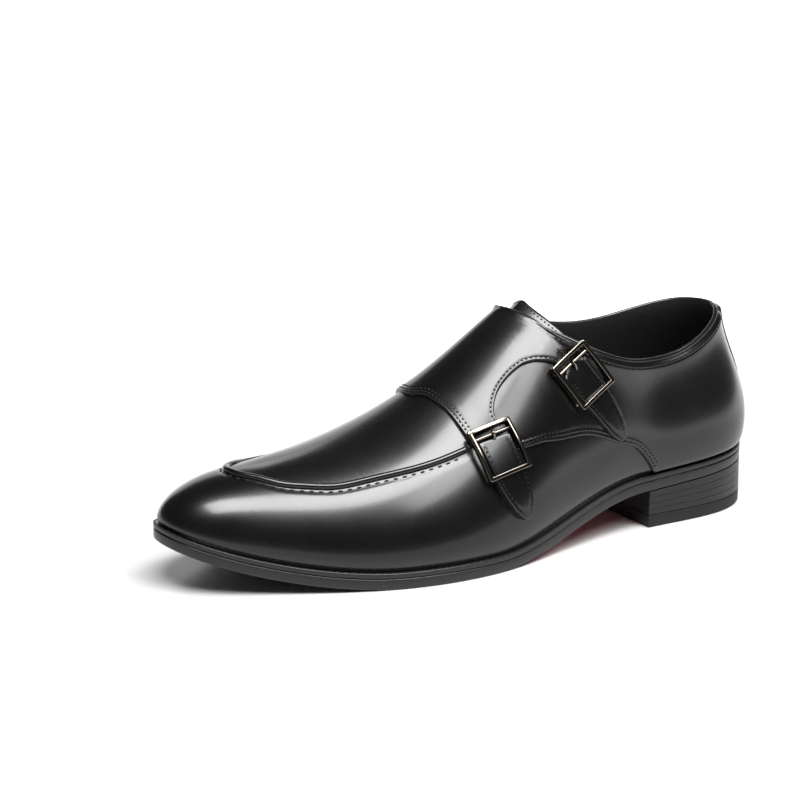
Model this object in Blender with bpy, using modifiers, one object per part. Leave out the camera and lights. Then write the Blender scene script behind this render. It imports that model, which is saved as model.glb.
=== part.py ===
# Monk strap shoe, left foot: a saddle over the instep ends in two buckled straps.
# Frame: +Z up, toe towards -Y, heel towards +Y, outer (buckle) side towards +X,
# floor at z = 0, origin under the middle of the shoe's box.
import bpy
import bmesh
import numpy as np
from mathutils import Vector
from mathutils.geometry import delaunay_2d_cdt

# Driving dimensions, in metres
foot_length = 0.300             # feather line of the upper, toe to heel
ball_width = 0.100              # unit of the plan widths, nearly the widest feather line
instep_height = 0.0910          # throat of the upper over its feather line
collar_height = 0.0675          # back of the collar over its feather line
toe_spring = 0.0190             # underside of the toe tip over the floor
heel_height = 0.0225            # underside of the outsole over the floor, at the back
breast_height = 0.0178          # underside of the outsole over the floor, at the heel breast
outsole_thickness = 0.0048
welt_thickness = 0.0021
welt_overhang = 0.0015          # sole edge outside the feather line
top_piece_thickness = 0.0060
upper_wall = 0.0020
insole_thickness = 0.0020
quarter_thickness = 0.0012
saddle_thickness = 0.0014
strap_thickness = 0.0014
tongue_thickness = 0.0018
strap_width = 0.0150
buckle_length = 0.0235          # along the strap
buckle_width = 0.0205           # across the strap
buckle_height = 0.0017
buckle_ride = 0.0005            # room for the foot's curve under the frame
buckle_rod = 0.0020             # width of the frame's rods
bar_radius = 0.0007
bar_inset = 0.0030              # inner bar behind the frame's near rod
prong_radius = 0.0006
gore_thickness = 0.0008
stay_thickness = 0.0010
ridge_width = 0.0024
ridge_height = 0.0015
tongue_reach = 0.0150           # tongue past the throat
tongue_sink = 0.0016            # clear of the wall's inside
tongue_taper = 0.26             # share of its width lost there, inside the collar
gap = 0.0003                    # between neighbouring pieces

# Along-foot places, as shares of foot_length from the toe
spring_end = 0.30               # the sole lies flat from here
waist_start = 0.44              # to here, and then rises to the heel breast
breast_along = 0.76

# Feather line and rib shape. along: share of foot_length. lateral, medial, bulge and
# drop: shares of ball_width. low: share of the rib's height. reach: share of its run in plan.
section_columns = ("along", "lateral", "medial", "bulge", "low", "reach", "drop")
sections = (
    (0.000, -0.050, -0.050, 0.00, 0.55, 0.62, 0.00),
    (0.016, 0.085, -0.175, 0.00, 0.55, 0.62, 0.00),
    (0.058, 0.195, -0.275, 0.00, 0.55, 0.62, 0.00),
    (0.120, 0.290, -0.360, 0.01, 0.52, 0.60, 0.00),
    (0.200, 0.395, -0.440, 0.02, 0.48, 0.56, 0.00),
    (0.290, 0.490, -0.490, 0.03, 0.46, 0.53, 0.00),
    (0.380, 0.530, -0.475, 0.04, 0.45, 0.48, 0.00),
    (0.470, 0.510, -0.390, 0.05, 0.43, 0.46, 0.00),
    (0.560, 0.445, -0.305, 0.06, 0.42, 0.44, 0.00),
    (0.660, 0.375, -0.270, 0.06, 0.40, 0.10, 0.20),
    (0.760, 0.340, -0.290, 0.05, 0.40, 0.10, 0.22),
    (0.860, 0.332, -0.315, 0.05, 0.40, 0.10, 0.22),
    (0.930, 0.285, -0.285, 0.06, 0.40, 0.10, 0.22),
    (0.980, 0.165, -0.170, 0.07, 0.40, 0.10, 0.22),
    (1.000, 0.000, 0.000, 0.08, 0.40, 0.10, 0.22),
)
# Top of the first sections, on the spine of the instep. rise: share of instep_height
# above the feather line of the same section.
spine_columns = ("along", "across", "rise")
spine = (
    (0.150, -0.050, 0.220),
    (0.152, -0.050, 0.243),
    (0.160, -0.048, 0.297),
    (0.185, -0.042, 0.370),
    (0.235, -0.038, 0.453),
    (0.300, -0.035, 0.540),
    (0.385, -0.035, 0.661),
    (0.470, -0.030, 0.838),
    (0.560, -0.020, 1.000),
)
# Top of the later sections, on the collar. rises: shares of collar_height.
collar_columns = ("along", "lateral", "medial", "lateral_rise", "medial_rise")
collar = (
    (0.650, 0.300, -0.290, 0.985, 1.050),
    (0.760, 0.295, -0.295, 0.796, 0.907),
    (0.850, 0.270, -0.275, 0.833, 0.929),
    (0.910, 0.200, -0.210, 0.925, 0.975),
    (0.940, 0.110, -0.115, 0.980, 0.990),
    (0.951, 0.000, 0.000, 0.990, 0.990),
)
throat_row = len(spine) - 1


def ease(share):
    """Smooth step from 0 to 1."""
    share = np.clip(share, 0, 1)
    return share * share * (3 - 2 * share)


def column(table, names, name):
    return np.array([row[names.index(name)] for row in table])


def spline_bends(knots, values, period=None):
    """Second derivatives of the cubic spline through values, natural or periodic."""
    count = len(knots)
    matrix = np.eye(count)
    right = np.zeros(values.shape)
    if period is None:
        steps, rows = np.diff(knots), range(1, count - 1)
    else:
        steps, rows = np.diff(np.append(knots, knots[0] + period)), range(count)
        matrix[:] = 0
    for row in rows:
        before, after = (row - 1) % count, (row + 1) % count
        short, long = steps[before], steps[row]
        matrix[row, before] += short
        matrix[row, row] += 2 * (short + long) - (period is None)
        matrix[row, after] += long
        slope = (values[after] - values[row]) / long - (values[row] - values[before]) / short
        right[row] = 6 * slope
    return np.linalg.solve(matrix, right)


def spline_values(knots, values, bends, where, period=None):
    """The spline of spline_bends read at where."""
    if period is not None:
        where = (where - knots[0]) % period + knots[0]
        knots = np.append(knots, knots[0] + period)
        values = np.concatenate([values, values[:1]])
        bends = np.concatenate([bends, bends[:1]])
    low = np.clip(np.searchsorted(knots, where, side="right") - 1, 0, len(knots) - 2)
    step = knots[low + 1] - knots[low]
    left = ((knots[low + 1] - where) / step)[..., None]
    right = 1 - left
    curve = (left**3 - left) * bends[low] + (right**3 - right) * bends[low + 1]
    return left * values[low] + right * values[low + 1] + curve * step[..., None]**2 / 6


def sole_bottom(along):
    """Height of the outsole's underside: toe spring, flat tread, waist, heel seat."""
    toe = np.clip((spring_end - along) / spring_end, 0, None)
    waist = np.clip((along - waist_start) / (breast_along - waist_start), 0, 1)
    seat = np.clip((along - breast_along) / (1 - breast_along), 0, None)
    rise = breast_height * waist**2 * (3 - 2 * waist)
    return toe_spring * toe**2 + rise + (heel_height - breast_height) * seat


def feather_height(along):
    """Height of the feather line: outsole, welt and their two gaps."""
    return sole_bottom(along) + outsole_thickness + welt_thickness + 2 * gap


def make_last():
    """Knots of the last: around the feather line, along the spine, around the collar."""
    along = column(sections, section_columns, "along")
    lateral = column(sections, section_columns, "lateral") * ball_width
    medial = column(sections, section_columns, "medial") * ball_width
    ribs = np.array([row[3:] for row in sections])
    y = (along - 0.5) * foot_length
    chords = [np.hypot(np.diff(y), np.diff(x)) for x in (lateral, medial)]
    place = np.concatenate([[0], np.cumsum(sum(chords))])
    place /= place[-1]
    back = slice(len(place) - 2, 0, -1)
    loop = np.concatenate([place, 2 - place[back]])
    rows = np.concatenate([
        np.column_stack([lateral, y, ribs]),
        np.column_stack([medial, y, ribs])[back],
    ])
    base = feather_height(along)
    top = np.column_stack([
        column(spine, spine_columns, "across") * ball_width,
        (column(spine, spine_columns, "along") - 0.5) * foot_length,
        column(spine, spine_columns, "rise") * instep_height + base[:throat_row + 1],
    ])
    rim_y = (column(collar, collar_columns, "along") - 0.5) * foot_length
    rims = [
        np.column_stack([
            column(collar, collar_columns, side) * ball_width,
            rim_y,
            column(collar, collar_columns, side + "_rise") * collar_height
            + base[throat_row + 1:],
        ])
        for side in ("lateral", "medial")
    ]
    throat = place[throat_row]
    rim = np.concatenate([top[-1:], rims[0], rims[1][-2::-1]])
    rim_places = np.concatenate([place[throat_row:], 2 - place[-2:throat_row:-1]])
    return {
        "loop": (loop, rows, spline_bends(loop, rows, 2.0), 2.0),
        "spine": (place[:throat_row + 1], top, spline_bends(place[:throat_row + 1], top)),
        "rim": (rim_places, rim, spline_bends(rim_places, rim, 2 - 2 * throat),
                2 - 2 * throat),
        "throat": throat,
    }


last = make_last()
throat = last["throat"]


def feather(around):
    """Feather line: plan point, outward plan normal and rib values. around runs 0 to 1
    from toe to heel on the lateral side and 1 to 2 back on the medial side."""
    small = 1e-3
    knots, rows, bends, period = last["loop"]
    values = spline_values(knots, rows, bends, around, period)
    ahead = spline_values(knots, rows, bends, around + small, period)[..., :2]
    behind = spline_values(knots, rows, bends, around - small, period)[..., :2]
    run = ahead - behind
    normal = np.stack([run[..., 1], -run[..., 0]], -1)
    normal /= np.linalg.norm(normal, axis=-1, keepdims=True)
    return values[..., :2], normal, values[..., 2:]


def top_line(around):
    """Top of each rib: on the spine ahead of the throat, on the collar behind it."""
    side = np.minimum(around % 2, 2 - around % 2)
    on_spine = spline_values(*last["spine"][:3], np.minimum(side, throat))
    on_rim = spline_values(*last["rim"][:3], around % 2, last["rim"][3])
    return np.where((side <= throat)[..., None], on_spine, on_rim)


def rib(around, up):
    """Outer surface of the upper: a cubic curve from feather line (up 0) to top (up 1)."""
    plan, normal, values = feather(around)
    bulge, low, reach, drop = np.moveaxis(values, -1, 0)
    side = np.minimum(around % 2, 2 - around % 2)
    bulge, drop = bulge * ball_width, drop * ball_width * ease((side - throat) / 0.06)
    foot = np.concatenate([plan, feather_height(plan[..., 1:] / foot_length + 0.5)], -1)
    top = top_line(around)
    height = top[..., 2] - foot[..., 2]
    run = plan - top[..., :2]
    distance = np.linalg.norm(run, axis=-1)
    square = np.clip(drop / (0.2 * ball_width), 0, 1)[..., None]
    lean = run / np.maximum(distance, 1e-6)[..., None] * (1 - square) + normal * square
    lean /= np.linalg.norm(lean, axis=-1, keepdims=True)
    first = foot + np.concatenate(
        [normal * bulge[..., None], (height * low)[..., None]], -1)
    second = top + np.concatenate(
        [lean * (distance * reach)[..., None], -drop[..., None]], -1)
    up = up[..., None]
    return ((1 - up)**3 * foot + 3 * (1 - up)**2 * up * first
            + 3 * (1 - up) * up**2 * second + up**3 * top)


def skin(around, up, lift=0.0):
    """Point over the outer surface. up above 1 goes on over the spine, down the other side."""
    small = 2e-4
    around, up = np.broadcast_arrays(np.asarray(around, float), np.asarray(up, float))

    def spot(where, height):
        over = height > 1
        return rib(np.where(over, 2 - where, where), np.where(over, 2 - height, height))

    side = np.minimum(around % 2, 2 - around % 2)
    rimmed = side > throat - 2 * small
    floor = np.where(up > 1, np.where(rimmed, 1, 0), 0) + 1e-9 * (up > 1)
    roof = np.where(up > 1, 2, np.where(rimmed, 1, 2))
    across = spot(around + small, up) - spot(around - small, up)
    rise = (spot(around, np.clip(up + small, floor, roof))
            - spot(around, np.clip(up - small, floor, roof)))
    normal = np.cross(across, rise)
    normal /= np.maximum(np.linalg.norm(normal, axis=-1, keepdims=True), 1e-12)
    return spot(around, up) + normal * np.asarray(lift)[..., None]


def loft_places(count, throat_count, ease=0.55):
    """Places from toe to heel, closer at both ends, with one at the throat."""
    ahead = np.linspace(0, 1, throat_count + 1)
    behind = np.linspace(1, 0, count - throat_count + 1)[1:]
    toe = throat * ahead * (1 - ease + ease * ahead)
    heel = 1 - (1 - throat) * behind * (1 - ease + ease * behind)
    return np.concatenate([toe, heel])


places = loft_places(38, 21)


merge = 2e-5                    # points closer than this are one


for item in list(bpy.data.objects):
    bpy.data.objects.remove(item, do_unlink=True)
shoe = bpy.data.collections.new("monk_strap_shoe")
bpy.context.scene.collection.children.link(shoe)


def material(name, colour, roughness, metallic=0.0):
    finish = bpy.data.materials.new(name)
    finish.use_nodes = True
    shader = finish.node_tree.nodes["Principled BSDF"]
    shader.inputs["Base Color"].default_value = (*colour, 1.0)
    shader.inputs["Roughness"].default_value = roughness
    shader.inputs["Metallic"].default_value = metallic
    return finish


def add_piece(name, points, faces, finish):
    mesh = bpy.data.meshes.new(name)
    mesh.from_pydata([tuple(point) for point in points], [], faces)
    work = bmesh.new()
    work.from_mesh(mesh)
    bmesh.ops.remove_doubles(work, verts=work.verts, dist=merge)
    if all(edge.is_manifold for edge in work.edges):
        bmesh.ops.recalc_face_normals(work, faces=work.faces)
    work.to_mesh(mesh)
    work.free()
    mesh.shade_smooth()
    mesh.set_sharp_from_angle(angle=np.radians(40))
    mesh.materials.append(finish)
    piece = bpy.data.objects.new(name, mesh)
    shoe.objects.link(piece)
    return piece


def thicken(piece, thickness, outward):
    """Give a sheet its wall, away from its face side or behind it."""
    wall = piece.modifiers.new("wall", "SOLIDIFY")
    wall.thickness = thickness
    wall.offset = 1 if outward else -1
    wall.use_even_offset = False
    return piece


def grid_faces(rows, columns, closed_rows=False, closed_columns=False):
    """Quads of a grid of points stored row by row."""
    last_row = rows if closed_rows else rows - 1
    last_column = columns if closed_columns else columns - 1
    return [
        (row * columns + col, (row + 1) % rows * columns + col,
         (row + 1) % rows * columns + (col + 1) % columns,
         row * columns + (col + 1) % columns)
        for row in range(last_row) for col in range(last_column)
    ]


def make_upper(finish):
    """Hollow upper: ribs from the feather line to spine and collar, with one wall."""
    ups = np.linspace(0, 1, 12)
    around = np.concatenate([places, 2 - places[-2:0:-1]])
    points = skin(around[:, None], ups[None, :]).reshape(-1, 3)
    faces = grid_faces(len(around), len(ups), closed_rows=True)
    return thicken(add_piece("upper", points, faces, finish), upper_wall, outward=False)


def slab(name, rings, finish, first=0):
    """Closed layer of the sole. rings run bottom to top, each an outward offset from the
    feather line and a function of the along share that gives its height."""
    sides = places[first:]
    whole = first == 0
    around = np.concatenate([sides, 2 - sides[-2:0 if whole else None:-1]])
    plan, normal, _ = feather(around)
    points = []
    for offset, height in rings:
        spots = plan + normal * offset
        if not whole:
            spots[[0, -1], 1] = (breast_along - 0.5) * foot_length - offset
        points.append(np.column_stack([spots, height(spots[:, 1] / foot_length + 0.5)]))
    count = len(around)
    faces = grid_faces(len(rings), count, closed_columns=True)
    back = count - 1 + whole            # the medial point across from lateral 0
    ladder = [
        tuple(dict.fromkeys(
            (step, step + 1, (back - step - 1) % count, (back - step) % count)))
        for step in range(len(sides) - 1)
    ]
    top = (len(rings) - 1) * count
    faces += ladder + [tuple(top + spot for spot in rung[::-1]) for rung in ladder]
    return add_piece(name, np.concatenate(points), faces, finish)


def make_sole(leather, rubber, lining):
    """Outsole, welt, stacked heel, its top piece and the insole."""
    edge = 0.0010               # softened lower edge of the outsole
    step = 0.0005               # the outsole's upper edge stands back under the welt
    slab("outsole", (
        (welt_overhang - edge, lambda along: sole_bottom(along)),
        (welt_overhang - 0.3 * edge, lambda along: sole_bottom(along) + 0.3 * edge),
        (welt_overhang, lambda along: sole_bottom(along) + edge),
        (welt_overhang, lambda along: sole_bottom(along) + outsole_thickness - 2 * step),
        (welt_overhang - step, lambda along: sole_bottom(along) + outsole_thickness - step),
        (welt_overhang - step, lambda along: sole_bottom(along) + outsole_thickness),
    ), leather)
    under_welt = outsole_thickness + gap
    slab("welt", (
        (welt_overhang - step, lambda along: sole_bottom(along) + under_welt),
        (welt_overhang, lambda along: sole_bottom(along) + under_welt + step),
        (welt_overhang, lambda along: sole_bottom(along) + under_welt + welt_thickness - step),
        (welt_overhang - step, lambda along: sole_bottom(along) + under_welt + welt_thickness),
    ), leather)
    inside = -(upper_wall + 2 * gap)
    slab("insole", (
        (inside, feather_height),
        (inside, lambda along: feather_height(along) + insole_thickness),
    ), lining)

    breast = int(np.argmin(abs(feather(places)[0][:, 1] / foot_length + 0.5 - breast_along)))
    flare = 0.0004              # the heel's base stands this far outside its top
    lift_base = top_piece_thickness + gap
    groove = 0.0004             # depth of the lines between the lifts
    rings = [(welt_overhang + flare, lambda along: 0 * along + lift_base)]
    for share in (0.36, 0.68):
        for ahead, depth in ((-0.03, 0), (0, groove), (0.03, 0)):
            rings.append((
                welt_overhang + flare * (1 - share) - depth,
                lambda along, at=share + ahead:
                    lift_base + (sole_bottom(along) - gap - lift_base) * at,
            ))
    rings.append((welt_overhang, lambda along: sole_bottom(along) - gap))
    slab("heel_stack", rings, leather, first=breast)
    slab("heel_top_piece", (
        (welt_overhang + flare - groove, lambda along: 0 * along),
        (welt_overhang + flare, lambda along: 0 * along + groove),
        (welt_overhang + flare, lambda along: 0 * along + top_piece_thickness),
    ), rubber, first=breast)


def run_points(run, spacing):
    """Points along one run of an outline: straight through two, a spline through more."""
    knots = np.array(run, float)
    solid = skin(knots[:, 0], knots[:, 1])
    chord = np.linalg.norm(np.diff(solid, axis=0), axis=1)
    place = np.concatenate([[0], np.cumsum(chord)])
    count = max(1, int(round(place[-1] / spacing)))
    where = np.linspace(0, place[-1], count + 1)[:-1]
    if len(knots) == 2:
        return knots[0] + (knots[1] - knots[0]) * (where / place[-1])[:, None]
    return spline_values(place, knots, spline_bends(place, knots), where)


def inside_outline(spots, outline):
    """Even-odd test of many plane points against a closed outline."""
    x, y = spots[:, :1], spots[:, 1:]
    x0, y0 = outline[:, 0], outline[:, 1]
    x1, y1 = np.roll(x0, -1), np.roll(y0, -1)
    span = np.where(y1 == y0, 1e-12, y1 - y0)
    crosses = ((y0 > y) != (y1 > y)) & (x < x0 + (y - y0) * (x1 - x0) / span)
    return crosses.sum(1) % 2 == 1


def panel(name, runs, thickness, lift, finish, spacing=0.005):
    """Leather panel over the upper: an outline in places around and up, filled and lifted.
    lift is a number or a function of those places."""
    flat = np.array([foot_length, ball_width])      # rough length of a unit each way
    outline = np.concatenate([run_points(run, spacing) for run in runs]) * flat
    low, high = outline.min(0), outline.max(0)
    steps = [np.arange(low[i] + spacing / 2, high[i], spacing) for i in (0, 1)]
    lattice = np.stack(np.meshgrid(*steps, indexing="ij"), -1)
    lattice[:, ::2, 0] += spacing / 2
    lattice = lattice.reshape(-1, 2)
    lattice = lattice[inside_outline(lattice, outline)]
    near = np.linalg.norm(lattice[:, None] - outline[None], axis=-1).min(1)
    spots = np.concatenate([outline, lattice[near > 0.6 * spacing]])
    count = len(outline)
    edges = [(i, (i + 1) % count) for i in range(count)]
    spots, _, faces, *_ = delaunay_2d_cdt(
        [Vector(spot) for spot in spots], edges, [], 1, 1e-7)
    spots = np.array([tuple(spot) for spot in spots]) / flat
    height = lift(*spots.T) if callable(lift) else lift
    points = skin(*spots.T, height)
    return thicken(add_piece(name, points, faces, finish), thickness, outward=True)


def ribbon(name, middle, widths, thickness, lift, finish, spacing=0.004, across=4):
    """Strip over the upper along a middle line of places, as wide as the spline of widths."""
    spots = np.array(middle, float)
    solid = skin(spots[:, 0], spots[:, 1])
    chord = np.linalg.norm(np.diff(solid, axis=0), axis=1)
    place = np.concatenate([[0], np.cumsum(chord)])
    where = np.linspace(0, place[-1], int(round(place[-1] / spacing)) + 1)
    line = spline_values(place, spots, spline_bends(place, spots), where)
    shares = np.linspace(0, 1, len(widths))
    half = np.interp(where / place[-1], shares, widths)[:, None] / 2
    small = 1e-3
    a, up = line[:, 0], line[:, 1]
    by_a = (skin(a + small, up) - skin(a - small, up)) / (2 * small)
    by_up = (skin(a, up + small) - skin(a, up - small)) / (2 * small)
    centre = skin(a, up)
    ahead = np.gradient(centre, axis=0)
    out = skin(a, up, 0.001) - centre
    side = np.cross(out, ahead)
    side /= np.linalg.norm(side, axis=-1, keepdims=True)
    metric = np.array([[(by_a * by_a).sum(-1), (by_a * by_up).sum(-1)],
                       [(by_a * by_up).sum(-1), (by_up * by_up).sum(-1)]]).transpose(2, 0, 1)
    pull = np.stack([(by_a * side).sum(-1), (by_up * side).sum(-1)], -1)
    step = np.linalg.solve(metric, pull[..., None])[..., 0]
    shift = np.linspace(-1, 1, across + 1)
    grid = line[:, None] + (half * step)[:, None] * shift[None, :, None]
    points = skin(grid[..., 0], grid[..., 1], lift).reshape(-1, 3)
    faces = grid_faces(len(where), across + 1)
    return thicken(add_piece(name, points, faces, finish), thickness, outward=True)


quarter_lift = 1.6 * gap
saddle_lift = quarter_lift + quarter_thickness + 1.5 * gap
strap_lift = saddle_lift


def saddle_rise(around, up):
    """The saddle lies on the vamp, and on its outer side climbs over the quarter."""
    outer = np.maximum(ease((0.97 - up) / 0.12), ease((around - 0.568) / 0.024)) * (up <= 1)
    climb = ease((around - 0.435) / 0.03) * outer
    return gap + (saddle_lift - gap) * climb


# Outlines of the panels, as places around and up. On the outer side around runs from the
# toe, and up past 1 goes on over the spine; on the inner side of the heel it runs past 1.
quarter_seam = [(0.468, 0.460), (0.480, 0.405), (0.505, 0.375), (0.541, 0.350),
                (0.575, 0.345), (0.612, 0.385), (0.640, 0.425), (0.668, 0.392),
                (0.701, 0.281), (0.722, 0.170), (0.740, 0.060), (0.746, 0.020)]
quarter_front = [(0.620, 0.985), (0.608, 0.880), (0.580, 0.755), (0.520, 0.735),
                 (0.482, 0.640), (0.468, 0.460)]
inner_seam = [(1.254, 0.020), (1.262, 0.060), (1.300, 0.235), (1.370, 0.335),
              (1.430, 0.365), (1.495, 0.375), (1.540, 0.380), (1.570, 0.385)]
inner_front = [(1.493, 0.435), (1.472, 0.570), (1.435, 0.720), (1.393, 0.850),
               (1.355, 0.985)]
saddle_front = [(0.436, 1.590), (0.427, 1.420), (0.410, 1.200), (0.401, 1.050),
                (0.403, 0.950), (0.4116, 0.885), (0.4166, 0.812), (0.4216, 0.735),
                (0.4265, 0.637), (0.4315, 0.541), (0.4345, 0.500)]
saddle_scallop = [(0.4850, 0.482), (0.4805, 0.540), (0.4840, 0.600), (0.4970, 0.634),
                  (0.5188, 0.648), (0.5413, 0.650), (0.5687, 0.645), (0.5860, 0.610)]
saddle_rear = [(0.605, 1.015), (0.585, 1.120), (0.545, 1.300), (0.522, 1.450),
               (0.506, 1.560)]
apron = [(0.424, 0.506), (0.389, 0.521), (0.359, 0.537), (0.322, 0.560), (0.287, 0.571),
         (0.237, 0.575), (0.200, 0.606), (0.160, 0.652), (0.117, 0.735), (0.060, 0.800),
         (0.000, 0.830)]


def make_panels(leather, elastic):
    """Quarters, back stay, saddle and gore."""
    panel("quarter_outer", (
        quarter_seam,
        [(0.746, 0.020), (0.870, 0.020), (0.998, 0.020)],
        [(0.998, 0.020), (0.998, 0.985)],
        [(0.998, 0.985), (0.870, 0.985), (0.740, 0.985), (0.620, 0.985)],
        quarter_front,
    ), quarter_thickness, quarter_lift, leather, spacing=0.006)
    panel("quarter_inner", (
        [(1.002, 0.985), (1.002, 0.020)],
        [(1.002, 0.020), (1.130, 0.020), (1.254, 0.020)],
        inner_seam,
        [(1.570, 0.385), (1.567, 0.402)],
        [(1.567, 0.402), (1.493, 0.435)],
        inner_front,
        [(1.355, 0.985), (1.240, 0.985), (1.130, 0.985), (1.002, 0.985)],
    ), quarter_thickness, quarter_lift, leather, spacing=0.006)
    panel("gore", (
        [(1.4625, 0.630), (1.4500, 0.700), (1.4100, 0.880), (1.3910, 0.985)],
        [(1.3910, 0.985), (1.3610, 0.985)],
        [(1.3610, 0.985), (1.4010, 0.850), (1.4420, 0.720), (1.4595, 0.645)],
        [(1.4595, 0.645), (1.4625, 0.630)],
    ), gore_thickness, quarter_lift, elastic, spacing=0.004)
    panel("back_stay", (
        [(0.957, 0.985), (0.964, 0.700), (0.972, 0.420)],
        [(0.972, 0.420), (0.985, 0.355), (1.000, 0.345), (1.015, 0.355), (1.028, 0.420)],
        [(1.028, 0.420), (1.036, 0.700), (1.043, 0.985)],
        [(1.043, 0.985), (1.000, 0.985), (0.957, 0.985)],
    ), stay_thickness, saddle_lift, leather, spacing=0.004)
    panel("saddle", (
        saddle_front,
        [(0.4345, 0.500), (0.4850, 0.482)],
        saddle_scallop,
        [(0.5860, 0.610), (0.6340, 0.950)],
        [(0.6340, 0.950), (0.6286, 0.985)],
        [(0.6286, 0.985), (0.590, 0.985), (0.562, 0.995), (0.5570, 1.000)],
        [(0.5570, 1.000), (0.562, 1.005), (0.585, 1.015), (0.605, 1.015)],
        saddle_rear,
        [(0.506, 1.560), (0.436, 1.590)],
    ), saddle_thickness, saddle_rise, leather, spacing=0.0046)


def make_ridge(leather):
    """Raised seam round the apron: a half-round strip carried along its path."""
    inner = [(-around, up) for around, up in apron[-2::-1]]
    path = run_points(apron + inner, ridge_width * 1.6)
    path = np.concatenate([path, [inner[-1]]])
    centre = skin(path[:, 0], path[:, 1], gap)
    out = (skin(path[:, 0], path[:, 1], gap + 0.001) - centre) / 0.001
    ahead = np.gradient(centre, axis=0)
    side = np.cross(out, ahead)
    side /= np.linalg.norm(side, axis=-1, keepdims=True)
    turn = np.linspace(0, np.pi, 6)
    across = np.cos(turn) * ridge_width / 2
    over = np.sin(turn) * ridge_height
    points = (centre[:, None] + side[:, None] * across[None, :, None]
              + out[:, None] * over[None, :, None])
    count = len(turn)
    faces = grid_faces(len(path), count, closed_columns=True)
    last_ring = (len(path) - 1) * count
    faces += [tuple(range(count))[::-1], tuple(last_ring + i for i in range(count))]
    piece = add_piece("apron_ridge", points.reshape(-1, 3), faces, leather)
    return piece


def make_tongue(leather):
    """Tongue: the inside of the instep carried on past the throat."""
    depth = upper_wall + tongue_sink
    ahead = np.linspace(0.480, throat - 0.004, 6)
    share = np.linspace(-1, 1, 13)
    width = 0.36
    inside = skin(ahead[:, None], 1 + width * share[None, :], -depth)
    crown = inside[-1, len(share) // 2]
    slope = crown - inside[-3, len(share) // 2]
    slope /= np.linalg.norm(slope)
    rows = [inside]
    for out in np.linspace(0, 1, 5)[1:]:
        row = inside[-1] + slope * tongue_reach * out
        row[:, 0] = crown[0] + (row[:, 0] - crown[0]) * (1 - tongue_taper * ease(1.4 * out))
        rows.append(row[None])
    points = np.concatenate(rows).reshape(-1, 3)
    faces = grid_faces(len(points) // len(share), len(share))
    return thicken(add_piece("tongue", points, faces, leather), tongue_thickness,
                   outward=False)


def lay(seat, u, v, lift):
    """Points over the skin, u and v away from the seat's middle in its tangent plane."""
    u, v = np.broadcast_arrays(np.asarray(u, float), np.asarray(v, float))
    around = np.full(u.shape, seat["place"][0])
    up = np.full(u.shape, seat["place"][1])
    small = 1e-3
    for _ in range(8):
        here = skin(around, up)
        by_a = (skin(around + small, up) - here) / small
        by_up = (skin(around, up + small) - here) / small
        miss_u = (here - seat["middle"]) @ seat["ahead"] - u
        miss_v = (here - seat["middle"]) @ seat["side"] - v
        a1, a2 = by_a @ seat["ahead"], by_up @ seat["ahead"]
        b1, b2 = by_a @ seat["side"], by_up @ seat["side"]
        scale = a1 * b2 - a2 * b1
        around = around - (miss_u * b2 - miss_v * a2) / scale
        up = up - (miss_v * a1 - miss_u * b1) / scale
    return skin(around, up, lift)


def make_seat(place, towards):
    """Tangent frame of a buckle: its middle, the strap's direction, side and normal."""
    middle = skin(*place)
    out = skin(*place, 0.001) - middle
    out /= np.linalg.norm(out)
    ahead = skin(*towards) - middle
    ahead -= out * (ahead @ out)
    ahead /= np.linalg.norm(ahead)
    seat = {"place": place, "middle": middle, "out": out, "ahead": ahead,
            "side": np.cross(out, ahead)}
    probe = 0.3 * buckle_length
    fall_u = (lay(seat, [-probe, probe], [0, 0], 0) - middle) @ out
    fall_v = (lay(seat, [0, 0], [-probe, probe], 0) - middle) @ out
    seat["bend_u"] = -fall_u.mean() / probe**2
    seat["bend_v"] = -fall_v.mean() / probe**2
    return seat


def over_seat(seat, u, v, lift):
    """Point over a buckle's seat, following the foot's curve there as one smooth bow."""
    u, v, lift = np.broadcast_arrays(
        np.asarray(u, float), np.asarray(v, float), np.asarray(lift, float))
    height = lift - seat["bend_u"] * u**2 - seat["bend_v"] * v**2
    return (seat["middle"] + seat["ahead"] * u[..., None] + seat["side"] * v[..., None]
            + seat["out"] * height[..., None])


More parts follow.
